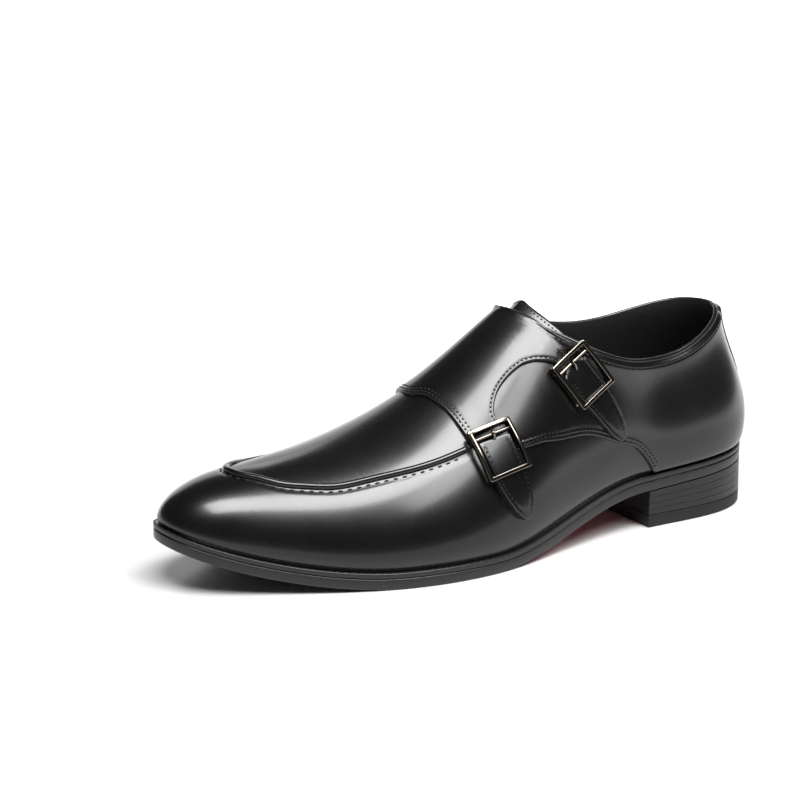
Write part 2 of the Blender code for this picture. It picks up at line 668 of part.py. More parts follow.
def make_buckle(name, seat, metal):
    """Square frame with rounded corners, its inner bar and its prong."""
    base = strap_lift + strap_thickness + gap + buckle_ride
    corner = 0.0022
    bevel = 0.0006
    half_u, half_v = buckle_length / 2 - corner, buckle_width / 2 - corner
    turn = np.radians(np.arange(0, 91, 30))
    path, push = [], []
    for quarter, (sign_u, sign_v) in enumerate(((1, 1), (-1, 1), (-1, -1), (1, -1))):
        angle = turn + quarter * np.pi / 2
        way = np.column_stack([np.cos(angle), np.sin(angle)])
        path.append(np.array([half_u * sign_u, half_v * sign_v]) + way * corner)
        push.append(way)
        side_way = way[-1]
        path.append(side_way[None] * [half_u + corner, half_v + corner])
        push.append(side_way[None])
    path, push = np.concatenate(path), np.concatenate(push)
    section = ((0, bevel), (bevel, 0), (buckle_rod - bevel, 0), (buckle_rod, bevel),
               (buckle_rod, buckle_height - bevel), (buckle_rod - bevel, buckle_height),
               (bevel, buckle_height), (0, buckle_height - bevel))
    inset = np.array([spot[0] for spot in section])
    rise = np.array([spot[1] for spot in section])
    spots = path[:, None] - push[:, None] * inset[None, :, None]
    points = over_seat(seat, spots[..., 0], spots[..., 1], base + rise)
    faces = grid_faces(len(path), len(section), closed_rows=True, closed_columns=True)
    add_piece(name + "_frame", points.reshape(-1, 3), faces, metal)

    bar_u = -buckle_length / 2 + buckle_rod + bar_inset
    reach = buckle_width / 2 - buckle_rod - gap
    ring = np.radians(np.arange(0, 360, 45))
    across = np.linspace(-reach, reach, 5)
    points = over_seat(
        seat, bar_u + bar_radius * np.cos(ring)[None, :], across[:, None],
        base + bar_radius + bar_radius * np.sin(ring)[None, :])
    faces = grid_faces(len(across), len(ring), closed_columns=True)
    top = (len(across) - 1) * len(ring)
    faces += [tuple(range(len(ring)))[::-1], tuple(top + i for i in range(len(ring)))]
    add_piece(name + "_bar", points.reshape(-1, 3), faces, metal)

    crest = base + 2 * bar_radius + gap + prong_radius
    low = base + prong_radius
    run = np.array([(-1.6, crest - 0.0016), (-0.9, crest - 0.0003), (0.0, crest),
                    (1.5, crest - 0.0004), (4.0, low + 0.0011), (6.5, low + 0.0003),
                    (8.6, low)])
    along = bar_u + run[:, 0] * 0.001
    grow = np.array([0.8, 1.0, 1.0, 1.0, 1.0, 0.9, 0.6])[:, None]
    points = over_seat(
        seat, along[:, None], prong_radius * grow * np.cos(ring)[None, :],
        run[:, 1:] + prong_radius * grow * np.sin(ring)[None, :])
    faces = grid_faces(len(run), len(ring), closed_columns=True)
    top = (len(run) - 1) * len(ring)
    faces += [tuple(range(len(ring)))[::-1], tuple(top + i for i in range(len(ring)))]
    add_piece(name + "_prong", points.reshape(-1, 3), faces, metal)


def make_straps(leather, metal):
    """The two billets with their buckles."""
    ribbon("strap_front", [(0.463, 0.478), (0.4727, 0.3208), (0.481, 0.230), (0.4915, 0.128)],
           [strap_width] * 4 + [0.9 * strap_width, 0.72 * strap_width, 0.25 * strap_width],
           strap_thickness, strap_lift, leather)
    ribbon("strap_rear", [(0.6128, 0.769), (0.637, 0.667), (0.661, 0.519), (0.686, 0.370)],
           [0.92 * strap_width] * 3 + [0.86 * strap_width, 0.78 * strap_width,
                                       0.62 * strap_width, 0.3 * strap_width],
           strap_thickness, strap_lift, leather)
    make_buckle("buckle_front", make_seat((0.466, 0.427), (0.4727, 0.3208)), metal)
    make_buckle("buckle_rear", make_seat((0.620, 0.742), (0.637, 0.667)), metal)


def centre_over_origin():
    """Move the pieces so that the origin lies under the middle of the shoe's box."""
    bpy.context.view_layer.update()
    graph = bpy.context.evaluated_depsgraph_get()
    corners = np.array([
        tuple(corner) for piece in shoe.objects for corner in piece.evaluated_get(graph).bound_box
    ])
    middle = (corners.min(0) + corners.max(0)) / 2
    for piece in shoe.objects:
        piece.location = (-middle[0], -middle[1], 0)


def main():
    leather = material("black_leather", (0.010, 0.010, 0.011), 0.28)
    edge = material("sole_edge", (0.020, 0.020, 0.021), 0.45)
    rubber = material("black_rubber", (0.012, 0.012, 0.012), 0.70)
    lining = material("black_lining", (0.014, 0.014, 0.014), 0.75)
    elastic = material("black_elastic", (0.012, 0.012, 0.013), 0.85)
    metal = material("gunmetal", (0.42, 0.40, 0.38), 0.22, 1.0)
    make_sole(edge, rubber, lining)
    make_upper(leather)
    make_panels(leather, elastic)
    make_ridge(leather)
    make_tongue(leather)
    make_straps(leather, metal)
    centre_over_origin()


main()
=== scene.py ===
import bmesh
import bpy
import numpy as np
from mathutils import Matrix, Vector
from mathutils.geometry import delaunay_2d_cdt


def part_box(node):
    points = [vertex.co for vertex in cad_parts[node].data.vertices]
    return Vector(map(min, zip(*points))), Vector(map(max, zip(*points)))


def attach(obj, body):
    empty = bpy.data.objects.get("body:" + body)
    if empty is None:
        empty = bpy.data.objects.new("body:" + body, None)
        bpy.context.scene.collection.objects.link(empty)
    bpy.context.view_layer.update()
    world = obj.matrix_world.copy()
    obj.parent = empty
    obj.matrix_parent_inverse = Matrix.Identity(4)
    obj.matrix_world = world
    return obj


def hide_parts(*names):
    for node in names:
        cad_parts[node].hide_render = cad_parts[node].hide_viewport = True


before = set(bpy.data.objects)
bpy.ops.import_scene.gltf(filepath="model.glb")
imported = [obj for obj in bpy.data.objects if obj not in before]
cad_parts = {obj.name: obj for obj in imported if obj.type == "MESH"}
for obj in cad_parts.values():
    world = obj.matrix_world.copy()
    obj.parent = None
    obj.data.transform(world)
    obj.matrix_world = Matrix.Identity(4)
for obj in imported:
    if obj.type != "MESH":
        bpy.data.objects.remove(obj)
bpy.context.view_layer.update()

# the last, in metres: feather line, ribs and top line, as the solids have them
last = {
    "footLength": 0.300, "ballWidth": 0.100, "instepHeight": 0.0910, "collarHeight": 0.0675,
    "toeSpring": 0.0190, "heelHeight": 0.0225, "breastHeight": 0.0178,
    "outsole": 0.0048, "welt": 0.0021, "overhang": 0.0015, "topPiece": 0.0060,
    "wall": 0.0020, "insole": 0.0020, "gap": 0.0003,
    "springEnd": 0.30, "waistStart": 0.44, "breastAlong": 0.76,
    # along, lateral, medial, bulge, low, reach, drop
    "sections": (
        (0.000, -0.050, -0.050, 0.00, 0.55, 0.62, 0.00),
        (0.016, 0.085, -0.175, 0.00, 0.55, 0.62, 0.00),
        (0.058, 0.195, -0.275, 0.00, 0.55, 0.62, 0.00),
        (0.120, 0.290, -0.360, 0.01, 0.52, 0.60, 0.00),
        (0.200, 0.395, -0.440, 0.02, 0.48, 0.56, 0.00),
        (0.290, 0.490, -0.490, 0.03, 0.46, 0.53, 0.00),
        (0.380, 0.530, -0.475, 0.04, 0.45, 0.48, 0.00),
        (0.470, 0.510, -0.390, 0.05, 0.43, 0.46, 0.00),
        (0.560, 0.445, -0.305, 0.06, 0.42, 0.44, 0.00),
        (0.660, 0.375, -0.270, 0.06, 0.40, 0.10, 0.20),
        (0.760, 0.340, -0.290, 0.05, 0.40, 0.10, 0.22),
        (0.860, 0.332, -0.315, 0.05, 0.40, 0.10, 0.22),
        (0.930, 0.285, -0.285, 0.06, 0.40, 0.10, 0.22),
        (0.980, 0.165, -0.170, 0.07, 0.40, 0.10, 0.22),
        (1.000, 0.000, 0.000, 0.08, 0.40, 0.10, 0.22),
    ),
    # along, across, rise
    "spine": (
        (0.150, -0.050, 0.220), (0.152, -0.050, 0.243), (0.160, -0.048, 0.297),
        (0.185, -0.042, 0.370), (0.235, -0.038, 0.453), (0.300, -0.035, 0.540),
        (0.385, -0.035, 0.661), (0.470, -0.030, 0.838), (0.560, -0.020, 1.000),
    ),
    # along, lateral, medial, lateral rise, medial rise
    "collar": (
        (0.650, 0.300, -0.290, 0.985, 1.050), (0.760, 0.295, -0.295, 0.796, 0.907),
        (0.850, 0.270, -0.275, 0.833, 0.929), (0.910, 0.200, -0.210, 0.925, 0.975),
        (0.940, 0.110, -0.115, 0.980, 0.990), (0.951, 0.000, 0.000, 0.990, 0.990),
    ),
}
throatRow = len(last["spine"]) - 1

# how the leather rounds over the last's corners: shares of the way round and of the way up
soften = {"dropRun": 0.10, "fullDrop": 0.2, "throatRun": 0.07, "nearStep": 0.02, "farStep": 0.045,
          "rimFrom": 0.78, "spineShare": 0.5, "spineEnd": 0.16, "spineFade": 0.12,
          "spineWide": 0.10, "spineStep": 0.05}


def ease(share):
    # smooth step from 0 to 1
    share = np.clip(share, 0, 1)
    return share * share * (3 - 2 * share)


def unit(vectors):
    return vectors / np.maximum(np.linalg.norm(vectors, axis=-1, keepdims=True), 1e-12)


def alongOf(y):
    # share along the foot, 0 at the toe and 1 at the heel
    return y / last["footLength"] + 0.5


def yOf(along):
    return (along - 0.5) * last["footLength"]


def fromToe(around):
    # way from the toe by either side: 0 at the toe, 1 at the heel
    return np.minimum(around % 2, 2 - around % 2)


def splineBends(knots, values, period=None):
    # second derivatives of the cubic spline through the values, natural or periodic
    count = len(knots)
    matrix = np.eye(count)
    right = np.zeros(values.shape)
    if period is None:
        steps, rows = np.diff(knots), range(1, count - 1)
    else:
        steps, rows = np.diff(np.append(knots, knots[0] + period)), range(count)
        matrix[:] = 0
    for row in rows:
        before, after = (row - 1) % count, (row + 1) % count
        short, long = steps[before], steps[row]
        matrix[row, before] += short
        matrix[row, row] += 2 * (short + long) - (period is None)
        matrix[row, after] += long
        slope = (values[after] - values[row]) / long - (values[row] - values[before]) / short
        right[row] = 6 * slope
    return np.linalg.solve(matrix, right)


def splineValues(knots, values, bends, where, period=None):
    # the spline read at any places
    if period is not None:
        where = (where - knots[0]) % period + knots[0]
        knots = np.append(knots, knots[0] + period)
        values = np.concatenate([values, values[:1]])
        bends = np.concatenate([bends, bends[:1]])
    low = np.clip(np.searchsorted(knots, where, side="right") - 1, 0, len(knots) - 2)
    step = knots[low + 1] - knots[low]
    left = ((knots[low + 1] - where) / step)[..., None]
    right = 1 - left
    curve = (left**3 - left) * bends[low] + (right**3 - right) * bends[low + 1]
    return left * values[low] + right * values[low + 1] + curve * step[..., None]**2 / 6


def soleBottom(along):
    # underside of the outsole: toe spring, flat tread, waist, heel seat
    toe = np.clip((last["springEnd"] - along) / last["springEnd"], 0, None)
    waist = ease((along - last["waistStart"]) / (last["breastAlong"] - last["waistStart"]))
    seat = np.clip((along - last["breastAlong"]) / (1 - last["breastAlong"]), 0, None)
    return (last["toeSpring"] * toe**2 + last["breastHeight"] * waist
            + (last["heelHeight"] - last["breastHeight"]) * seat)


def featherHeight(along):
    return soleBottom(along) + last["outsole"] + last["welt"] + 2 * last["gap"]


def makeLast():
    # knots of the feather loop, of the spine and of the collar's rim; a place is the way from
    # the toe, the mean of both sides, with the heel at 1
    table = np.array(last["sections"])
    along = table[:, 0]
    lateral, medial = table[:, 1] * last["ballWidth"], table[:, 2] * last["ballWidth"]
    y = yOf(along)
    chords = [np.hypot(np.diff(y), np.diff(x)) for x in (lateral, medial)]
    place = np.concatenate([[0], np.cumsum(sum(chords))])
    place /= place[-1]
    back = slice(len(place) - 2, 0, -1)
    loop = np.concatenate([place, 2 - place[back]])
    rows = np.concatenate([np.column_stack([lateral, y, table[:, 3:]]),
                           np.column_stack([medial, y, table[:, 3:]])[back]])
    base = featherHeight(along)
    spine, collar = np.array(last["spine"]), np.array(last["collar"])
    top = np.column_stack([spine[:, 1] * last["ballWidth"], yOf(spine[:, 0]),
                           spine[:, 2] * last["instepHeight"] + base[:throatRow + 1]])
    rims = [np.column_stack([collar[:, side] * last["ballWidth"], yOf(collar[:, 0]),
                             collar[:, side + 2] * last["collarHeight"] + base[throatRow + 1:]])
            for side in (1, 2)]
    throat = place[throatRow]
    rim = np.concatenate([top[-1:], rims[0], rims[1][-2::-1]])
    rimPlaces = np.concatenate([place[throatRow:], 2 - place[-2:throatRow:-1]])
    period = 2 - 2 * throat
    return {"loop": (loop, rows, splineBends(loop, rows, 2.0), 2.0),
            "spine": (place[:throatRow + 1], top, splineBends(place[:throatRow + 1], top)),
            "rim": (rimPlaces, rim, splineBends(rimPlaces, rim, period), period),
            "throat": throat}


knots = makeLast()
throat = knots["throat"]


def feather(around):
    # feather line: plan point, outward plan normal, rib values; 0 to 1 lateral, 1 to 2 medial
    small = 1e-3
    places, rows, bends, period = knots["loop"]
    values = splineValues(places, rows, bends, around, period)
    run = (splineValues(places, rows, bends, around + small, period)[..., :2]
           - splineValues(places, rows, bends, around - small, period)[..., :2])
    normal = unit(np.stack([run[..., 1], -run[..., 0]], -1))
    return values[..., :2], normal, values[..., 2:]


def topLine(around):
    # where a rib ends: on the spine ahead of the throat, on the collar's rim behind it
    side = fromToe(around)
    onSpine = splineValues(*knots["spine"], np.minimum(side, throat))
    onRim = splineValues(*knots["rim"][:3], around % 2, knots["rim"][3])
    return np.where((side <= throat)[..., None], onSpine, onRim)


def rib(around, up):
    # cubic Bezier curve from the feather line, up 0, to spine or collar, up 1: it leaves the
    # feather line upwards with a bulge outwards, and nears the top level, or down by the drop
    plan, normal, values = feather(around)
    bulge, low, reach, drop = np.moveaxis(values, -1, 0)
    side = fromToe(around)
    bulge = bulge * last["ballWidth"]
    drop = drop * last["ballWidth"] * ease((side - throat) / soften["dropRun"])
    foot = np.concatenate([plan, featherHeight(alongOf(plan[..., 1:]))], -1)
    top = topLine(around)
    # the corner at the throat shows only at the rim: below it a mean of places beside it holds
    near = np.exp(-((side - throat) / soften["throatRun"])**2)[..., None]
    mean = 2 * top
    for step, weight in ((soften["farStep"], 1), (soften["nearStep"], 2)):
        mean = mean + weight * (topLine(around - step) + topLine(around + step))
    soft = top + (mean / 8 - top) * near
    height = soft[..., 2] - foot[..., 2]
    run = plan - soft[..., :2]
    distance = np.linalg.norm(run, axis=-1)
    square = np.clip(drop / (soften["fullDrop"] * last["ballWidth"]), 0, 1)[..., None]
    lean = unit(run / np.maximum(distance, 1e-6)[..., None] * (1 - square) + normal * square)
    first = foot + np.concatenate([normal * bulge[..., None], (height * low)[..., None]], -1)
    second = soft + np.concatenate([lean * (distance * reach)[..., None], -drop[..., None]], -1)
    up = up[..., None]
    corner = ease((up - soften["rimFrom"]) / (1 - soften["rimFrom"]))
    return ((1 - up)**3 * foot + 3 * (1 - up)**2 * up * first
            + 3 * (1 - up) * up**2 * second + up**3 * (soft + (top - soft) * corner))


def ribAcross(around, up):
    # up past 1 goes on over the spine and down the other side
    over = up > 1
    return rib(np.where(over, 2 - around, around), np.where(over, 2 - up, up))


def softRib(around, up):
    # ahead of the throat the spine is rounded off: a mean of three places across it
    here = ribAcross(around, up)
    mean = (ribAcross(around, up - soften["spineStep"])
            + ribAcross(around, up + soften["spineStep"])) / 2
    ahead = 1 - ease((fromToe(around) - throat + soften["spineEnd"]) / soften["spineFade"])
    share = soften["spineShare"] * ahead * np.exp(-((up - 1) / soften["spineWide"])**2)
    return here + (mean - here) * share[..., None]


def skinAndNormal(around, up):
    # outer surface of the upper and its normal, the cross product of the steps round and up
    small = 2e-4
    around, up = np.broadcast_arrays(np.asarray(around, float), np.asarray(up, float))
    rimmed = fromToe(around) > throat - 2 * small
    floor = np.where((up > 1) & rimmed, 1 + 1e-9, 0)
    roof = np.where((up <= 1) & rimmed, 1, 2)
    across = softRib(around + small, up) - softRib(around - small, up)
    rise = (softRib(around, np.clip(up + small, floor, roof))
            - softRib(around, np.clip(up - small, floor, roof)))
    return softRib(around, up), unit(np.cross(across, rise))


def skin(around, up, lift=0.0):
    # the same surface, lifted along its normal
    point, normal = skinAndNormal(around, up)
    return point + normal * np.asarray(lift)[..., None]


def frameShift():
    # the solids are centred over the origin: the same move, read from the welt's box
    plan, normal, _ = feather(np.linspace(0, 2, 801))
    spots = plan + normal * last["overhang"]
    low, high = (np.array(corner)[:2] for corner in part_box("welt"))
    move = (low + high) / 2 - (spots.min(0) + spots.max(0)) / 2
    return np.array([move[0], move[1], 0.0])


shift = frameShift()
print("last ready, shift in mm", np.round(shift * 1000, 2))


def hexColour(code):
    # sRGB hex to linear
    parts = [int(code[i:i + 2], 16) / 255 for i in (0, 2, 4)]
    return [part / 12.92 if part <= 0.04045 else ((part + 0.055) / 1.055)**2.4
            for part in parts] + [1.0]


def addNode(tree, kind, settings=None, **links):
    # one node with its settings, its socket values and its links
    node = tree.nodes.new(kind)
    for name, value in (settings or {}).items():
        if name in node.inputs:
            node.inputs[name].default_value = value
        else:
            setattr(node, name, value)
    for name, source in links.items():
        tree.links.new(source, node.inputs[name.replace("_", " ")])
    return node


def makeMaterial(name, colour, shaderSettings, layers=(), tint=None):
    # Principled shader with bump layers, each a texture in Object coordinates.
    # layers: (kind, size in metres, strength, depth in metres, extra settings)
    finish = bpy.data.materials.new(name)
    finish.use_nodes = True
    tree = finish.node_tree
    shader = tree.nodes["Principled BSDF"]
    shader.inputs["Base Color"].default_value = hexColour(colour)
    for key, value in shaderSettings.items():
        shader.inputs[key].default_value = value
    place = addNode(tree, "ShaderNodeTexCoord")
    under = None
    for kind, size, strength, depth, extra in layers:
        spread = addNode(tree, "ShaderNodeMapping",
                         {"Scale": extra.get("stretch", (1, 1, 1))}, Vector=place.outputs["Object"])
        options = {"Scale": 1 / size}
        options.update({key: value for key, value in extra.items() if key != "stretch"})
        texture = addNode(tree, kind, options, Vector=spread.outputs["Vector"])
        height = texture.outputs["Fac" if "Fac" in texture.outputs else "Distance"]
        links = {"Height": height}
        if under:
            links["Normal"] = under.outputs["Normal"]
        under = addNode(tree, "ShaderNodeBump", {"Strength": strength, "Distance": depth}, **links)
    if under:
        tree.links.new(under.outputs["Normal"], shader.inputs["Normal"])
    if tint:
        size, low, high, roughLow, roughHigh = tint
        cloud = addNode(tree, "ShaderNodeTexNoise", {"Scale": 1 / size, "Detail": 4.0},
                        Vector=place.outputs["Object"])
        mix = addNode(tree, "ShaderNodeMix", {"data_type": "RGBA"})
        mix.inputs[6].default_value = hexColour(low)
        mix.inputs[7].default_value = hexColour(high)
        tree.links.new(cloud.outputs["Fac"], mix.inputs[0])
        tree.links.new(mix.outputs[2], shader.inputs["Base Color"])
        spread = addNode(tree, "ShaderNodeMapRange",
                         {"From Min": 0.3, "From Max": 0.7, "To Min": roughLow, "To Max": roughHigh},
                         Value=cloud.outputs["Fac"])
        tree.links.new(spread.outputs["Result"], shader.inputs["Roughness"])
    return finish


# Polished calf: aniline black with a wax glaze, so broad soft highlights over a faint pore grain
calf = makeMaterial("polishedCalf", "060607", {"Roughness": 0.27, "Specular IOR Level": 0.5,
    "Coat Weight": 0.3, "Coat Roughness": 0.14}, (
    ("ShaderNodeTexVoronoi", 0.0011, 0.10, 0.00006, {}),
    ("ShaderNodeTexNoise", 0.012, 0.08, 0.0004, {"Detail": 3.0}),
), tint=(0.03, "050506", "080808", 0.24, 0.30))
# Cut edge of the leather, inked and burnished: greyer and duller than the face
inkedEdge = makeMaterial("inkedLeatherEdge", "141415", {"Roughness": 0.34}, (
    ("ShaderNodeTexNoise", 0.0012, 0.25, 0.0001, {"Detail": 4.0}),))
# Waxed polyester thread, twisted: catches a small glint on each stitch
thread = makeMaterial("waxedThread", "040404", {"Roughness": 0.55, "Specular IOR Level": 0.3}, (
    ("ShaderNodeTexWave", 0.0006, 0.3, 0.0001, {}),))
# Welt and outsole edge: pressed leather sanded, inked and waxed, satin with fine layer lines
soleEdge = makeMaterial("waxedSoleEdge", "131314", {"Roughness": 0.36, "Coat Weight": 0.15,
    "Coat Roughness": 0.3}, (
    ("ShaderNodeTexNoise", 0.004, 0.25, 0.00025, {"Detail": 5.0, "stretch": (1, 1, 14)}),
    ("ShaderNodeTexNoise", 0.0008, 0.15, 0.0001, {"Detail": 2.0}),
), tint=(0.02, "101011", "181819", 0.32, 0.42))
# Stacked heel: glued leather lifts, sanded and inked, so fine level lines run round it
stackedHeel = makeMaterial("stackedLeatherHeel", "121213", {"Roughness": 0.40}, (
    ("ShaderNodeTexNoise", 0.012, 0.30, 0.0003, {"Detail": 6.0, "stretch": (1, 1, 20)}),
), tint=(0.015, "0e0e0f", "181819", 0.34, 0.46))
# Top piece: moulded rubber, matte and slightly grainy
moulded = makeMaterial("mouldedRubber", "0b0b0b", {"Roughness": 0.62}, (
    ("ShaderNodeTexNoise", 0.0009, 0.2, 0.0001, {"Detail": 3.0}),))
# Lining: unpolished pigskin, dull with an even pore grain
liningHide = makeMaterial("pigskinLining", "0c0c0c", {"Roughness": 0.62}, (
    ("ShaderNodeTexVoronoi", 0.0016, 0.3, 0.0002, {}),
    ("ShaderNodeTexNoise", 0.02, 0.2, 0.0012, {"Detail": 3.0}),))
# Elastic webbing: rubber threads wrapped in polyester, fine ribs across the stretch
webbing = makeMaterial("elasticWebbing", "111112", {"Roughness": 0.8, "Sheen Weight": 0.3}, (
    ("ShaderNodeTexWave", 0.0009, 0.7, 0.0003, {"bands_direction": "Y"}),))
# Buckle: zinc casting, gunmetal plated and polished, so sharp reflections in a warm grey
gunmetal = makeMaterial("gunmetalPlate", "7f776d", {"Metallic": 1.0, "Roughness": 0.13}, (
    ("ShaderNodeTexNoise", 0.003, 0.04, 0.0001, {"Detail": 2.0}),))
print("materials ready")


def addObject(name, data):
    item = bpy.data.objects.new(name, data)
    bpy.context.scene.collection.objects.link(item)
    return item


def addPiece(name, points, faces, finishes, slots=None, merge=0.0, angle=50):
    # a mesh in the frame's place: points are moved by the frame's shift
    mesh = bpy.data.meshes.new(name)
    mesh.from_pydata((np.asarray(points) + shift).tolist(), [],
                     faces.tolist() if isinstance(faces, np.ndarray) else faces)
    for finish in finishes:
        mesh.materials.append(finish)
    if slots is not None:
        mesh.polygons.foreach_set("material_index", np.asarray(slots, dtype=np.int32))
    if merge:
        work = bmesh.new()
        work.from_mesh(mesh)
        bmesh.ops.remove_doubles(work, verts=work.verts, dist=merge)
        work.to_mesh(mesh)
        work.free()
    mesh.shade_smooth()
    mesh.set_sharp_from_angle(angle=np.radians(angle))
    mesh.validate()
    piece = addObject(name, mesh)
    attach(piece, "root")
    return piece


def gridFaces(rows, columns, closedRows=False, closedColumns=False, start=0):
    # quads of a grid stored row by row
    row = np.arange(rows if closedRows else rows - 1)[:, None]
    col = np.arange(columns if closedColumns else columns - 1)[None, :]
    nextRow, nextCol = (row + 1) % rows, (col + 1) % columns
    quads = np.stack([row * columns + col, nextRow * columns + col,
                      nextRow * columns + nextCol, row * columns + nextCol], -1)
    return quads.reshape(-1, 4) + start


def lengthAlong(points):
    return np.concatenate([[0], np.cumsum(np.linalg.norm(np.diff(points, axis=0), axis=1))])


def readLine(values, place, where):
    # rows of values known at the lengths place, read at the lengths where
    return np.stack([np.interp(where, place, column) for column in values.T], -1)


def resample(path, spacing):
    # places along a polyline of (around, up) at even steps of true length
    place = lengthAlong(skin(path[:, 0], path[:, 1]))
    count = max(2, int(round(place[-1] / spacing)) + 1)
    return readLine(path, place, np.linspace(0, place[-1], count))


def runPlaces(run, spacing):
    # one run of an outline: straight through two places, a spline through more
    ends = np.array(run, float)
    if len(ends) == 2:
        return resample(ends, spacing)
    place = lengthAlong(skin(ends[:, 0], ends[:, 1]))
    fine = np.linspace(0, place[-1], 40 * len(ends))
    return resample(splineValues(place, ends, splineBends(place, ends), fine), spacing)


def sideSteps(path, closed):
    # change of (around, up) that moves each place one metre to the left of the path
    point, normal = skinAndNormal(path[:, 0], path[:, 1])
    if closed:
        ahead = np.roll(point, -1, axis=0) - np.roll(point, 1, axis=0)
    else:
        ahead = np.gradient(point, axis=0)
    left = unit(np.cross(normal, ahead))
    small = 1e-4
    byAround = (skin(path[:, 0] + small, path[:, 1]) - point) / small
    byUp = (point - skin(path[:, 0], path[:, 1] - small)) / small
    aa, au, uu = (byAround**2).sum(1), (byAround * byUp).sum(1), (byUp**2).sum(1)
    la, lu = (byAround * left).sum(1), (byUp * left).sum(1)
    scale = aa * uu - au * au
    return np.stack([(la * uu - lu * au) / scale, (lu * aa - la * au) / scale], -1)


def insideOutline(spots, outline):
    # even-odd test, in slices to keep the arrays small
    x0, y0 = outline.T
    x1, y1 = np.roll(x0, -1), np.roll(y0, -1)
    span = np.where(y1 == y0, 1e-12, y1 - y0)
    parts = []
    for part in np.array_split(spots, max(1, len(spots) // 2000)):
        x, y = part[:, :1], part[:, 1:]
        crosses = ((y0 > y) != (y1 > y)) & (x < x0 + (y - y0) * (x1 - x0) / span)
        parts.append(crosses.sum(1) % 2 == 1)
    return np.concatenate(parts)


def segmentDistance(points, line, closed):
    # distance in space from each point to a polyline
    ends = np.roll(line, -1, axis=0) if closed else line[1:]
    starts = line if closed else line[:-1]
    way = ends - starts
    size = np.maximum((way**2).sum(1), 1e-14)
    parts = []
    for part in np.array_split(points, max(1, len(points) // 400)):
        reach = part[:, None] - starts[None]
        share = np.clip((reach * way).sum(-1) / size, 0, 1)
        parts.append(np.sqrt(((reach - share[..., None] * way)**2).sum(-1).min(1)))
    return np.concatenate(parts)


# thread stitches of the upper, in metres; ends is what a row leaves free at each end
stitch = {"pitch": 0.0021, "length": 0.0016, "radius": 0.00042, "dip": 0.0004, "ends": 0.0012,
          "stations": 5, "corners": 6, "flat": 0.8}
stitchRows = []


def stitchPlaces(starts, length):
    # lengths along a row: each stitch has its stations evenly about its middle
    return starts[:, None] + np.linspace(-0.5, 0.5, stitch["stations"])[None] * length


def capsules(centres, normals, radius, dip):
    # each stitch is a flattened tube whose radius falls as the root of 1 less the fourth power
    # of the way to its end, and whose ends dip into the leather by the third power
    count, stations = centres.shape[:2]
    side = np.cross(unit(np.gradient(centres, axis=1)), normals)
    share = np.abs(np.linspace(-1, 1, stations))
    wide = (radius * np.sqrt(np.clip(1 - share**4, 0.05, 1)))[:, None]
    centres = centres - normals * (dip * share**3)[None, :, None]
    turn = np.linspace(0, 2 * np.pi, stitch["corners"], endpoint=False)
    points = (centres[:, :, None] + side[:, :, None] * (wide * np.cos(turn))[None, :, :, None]
              + normals[:, :, None] * (stitch["flat"] * wide * np.sin(turn))[None, :, :, None])
    faces = gridFaces(stations, len(turn), closedColumns=True)
    offsets = np.arange(count)[:, None, None] * stations * len(turn)
    return points.reshape(-1, 3), (faces[None] + offsets).reshape(-1, 4)


def liftAt(lift, around, up):
    # a lift is a number or a function of the place
    return (lift(around, up) if callable(lift) else lift) + np.zeros(around.shape)


def stitchAlong(path, lift, **changes):
    # stitches of even pitch along a path of places
    size = {**stitch, **changes}
    place = lengthAlong(skin(path[:, 0], path[:, 1]))
    run = place[-1] - 2 * size["ends"]
    count = max(1, int(run / size["pitch"]))
    starts = size["ends"] + (np.arange(count) + 0.5) * run / count
    around, up = readLine(path, place, stitchPlaces(starts, size["length"])).transpose(2, 0, 1)
    point, normal = skinAndNormal(around, up)
    centres = point + normal * liftAt(lift, around, up)[..., None]
    stitchRows.append(capsules(centres, normal, size["radius"], size["dip"]))


def insetPath(path, distance, trim=0.0):
    # a path moved inwards by a distance in metres, its ends cut back by trim
    moved = path + sideSteps(path, False) * distance
    place = lengthAlong(skin(moved[:, 0], moved[:, 1]))
    keep = (place > trim) & (place < place[-1] - trim)
    return moved[keep]


flat = np.array([last["footLength"], last["ballWidth"]])
# how every panel is cut, in metres: mesh, rolled edge, foot of the cut edge, its inked rim,
# groove under a stitch row, and depths of the rings of points inside the outline
cut = {"spacing": 0.0017, "edgeStep": 0.0013, "roll": 0.0006, "foot": -0.0012, "inked": 0.00035,
       "groove": 0.00018, "grooveHalf": 0.00045, "threadSink": 0.0001, "besideRow": 0.0005,
       "rings": (0.00012, 0.0003, 0.0006, 0.0010), "latticeGap": 0.0006}


def panelSpots(outline, edge, inward, rows, spacing):
    # places of a panel: its outline, rings inside it and beside each stitch row, then a lattice
    beside = (-cut["besideRow"], 0, cut["besideRow"])
    depths = sorted({*cut["rings"]} | {round(row + step, 5) for row in rows for step in beside
                                       if row + step > cut["rings"][-1]})
    inner = []
    for depth in depths:
        ring = outline + inward * depth
        ring = ring[insideOutline(ring * flat, outline * flat)]
        inner.append(ring[segmentDistance(skin(*ring.T), edge, True) > 0.85 * depth])
    low, high = (outline * flat).min(0), (outline * flat).max(0)
    lattice = np.stack(np.meshgrid(*(np.arange(low[i], high[i], spacing) for i in (0, 1)),
                                   indexing="ij"), -1)
    lattice[:, ::2, 0] += spacing / 2
    lattice = lattice.reshape(-1, 2)
    lattice = lattice[insideOutline(lattice, outline * flat)] / flat
    away = segmentDistance(skin(*lattice.T), edge, True)
    return np.concatenate([outline] + inner + [lattice[away > depths[-1] + cut["latticeGap"]]])


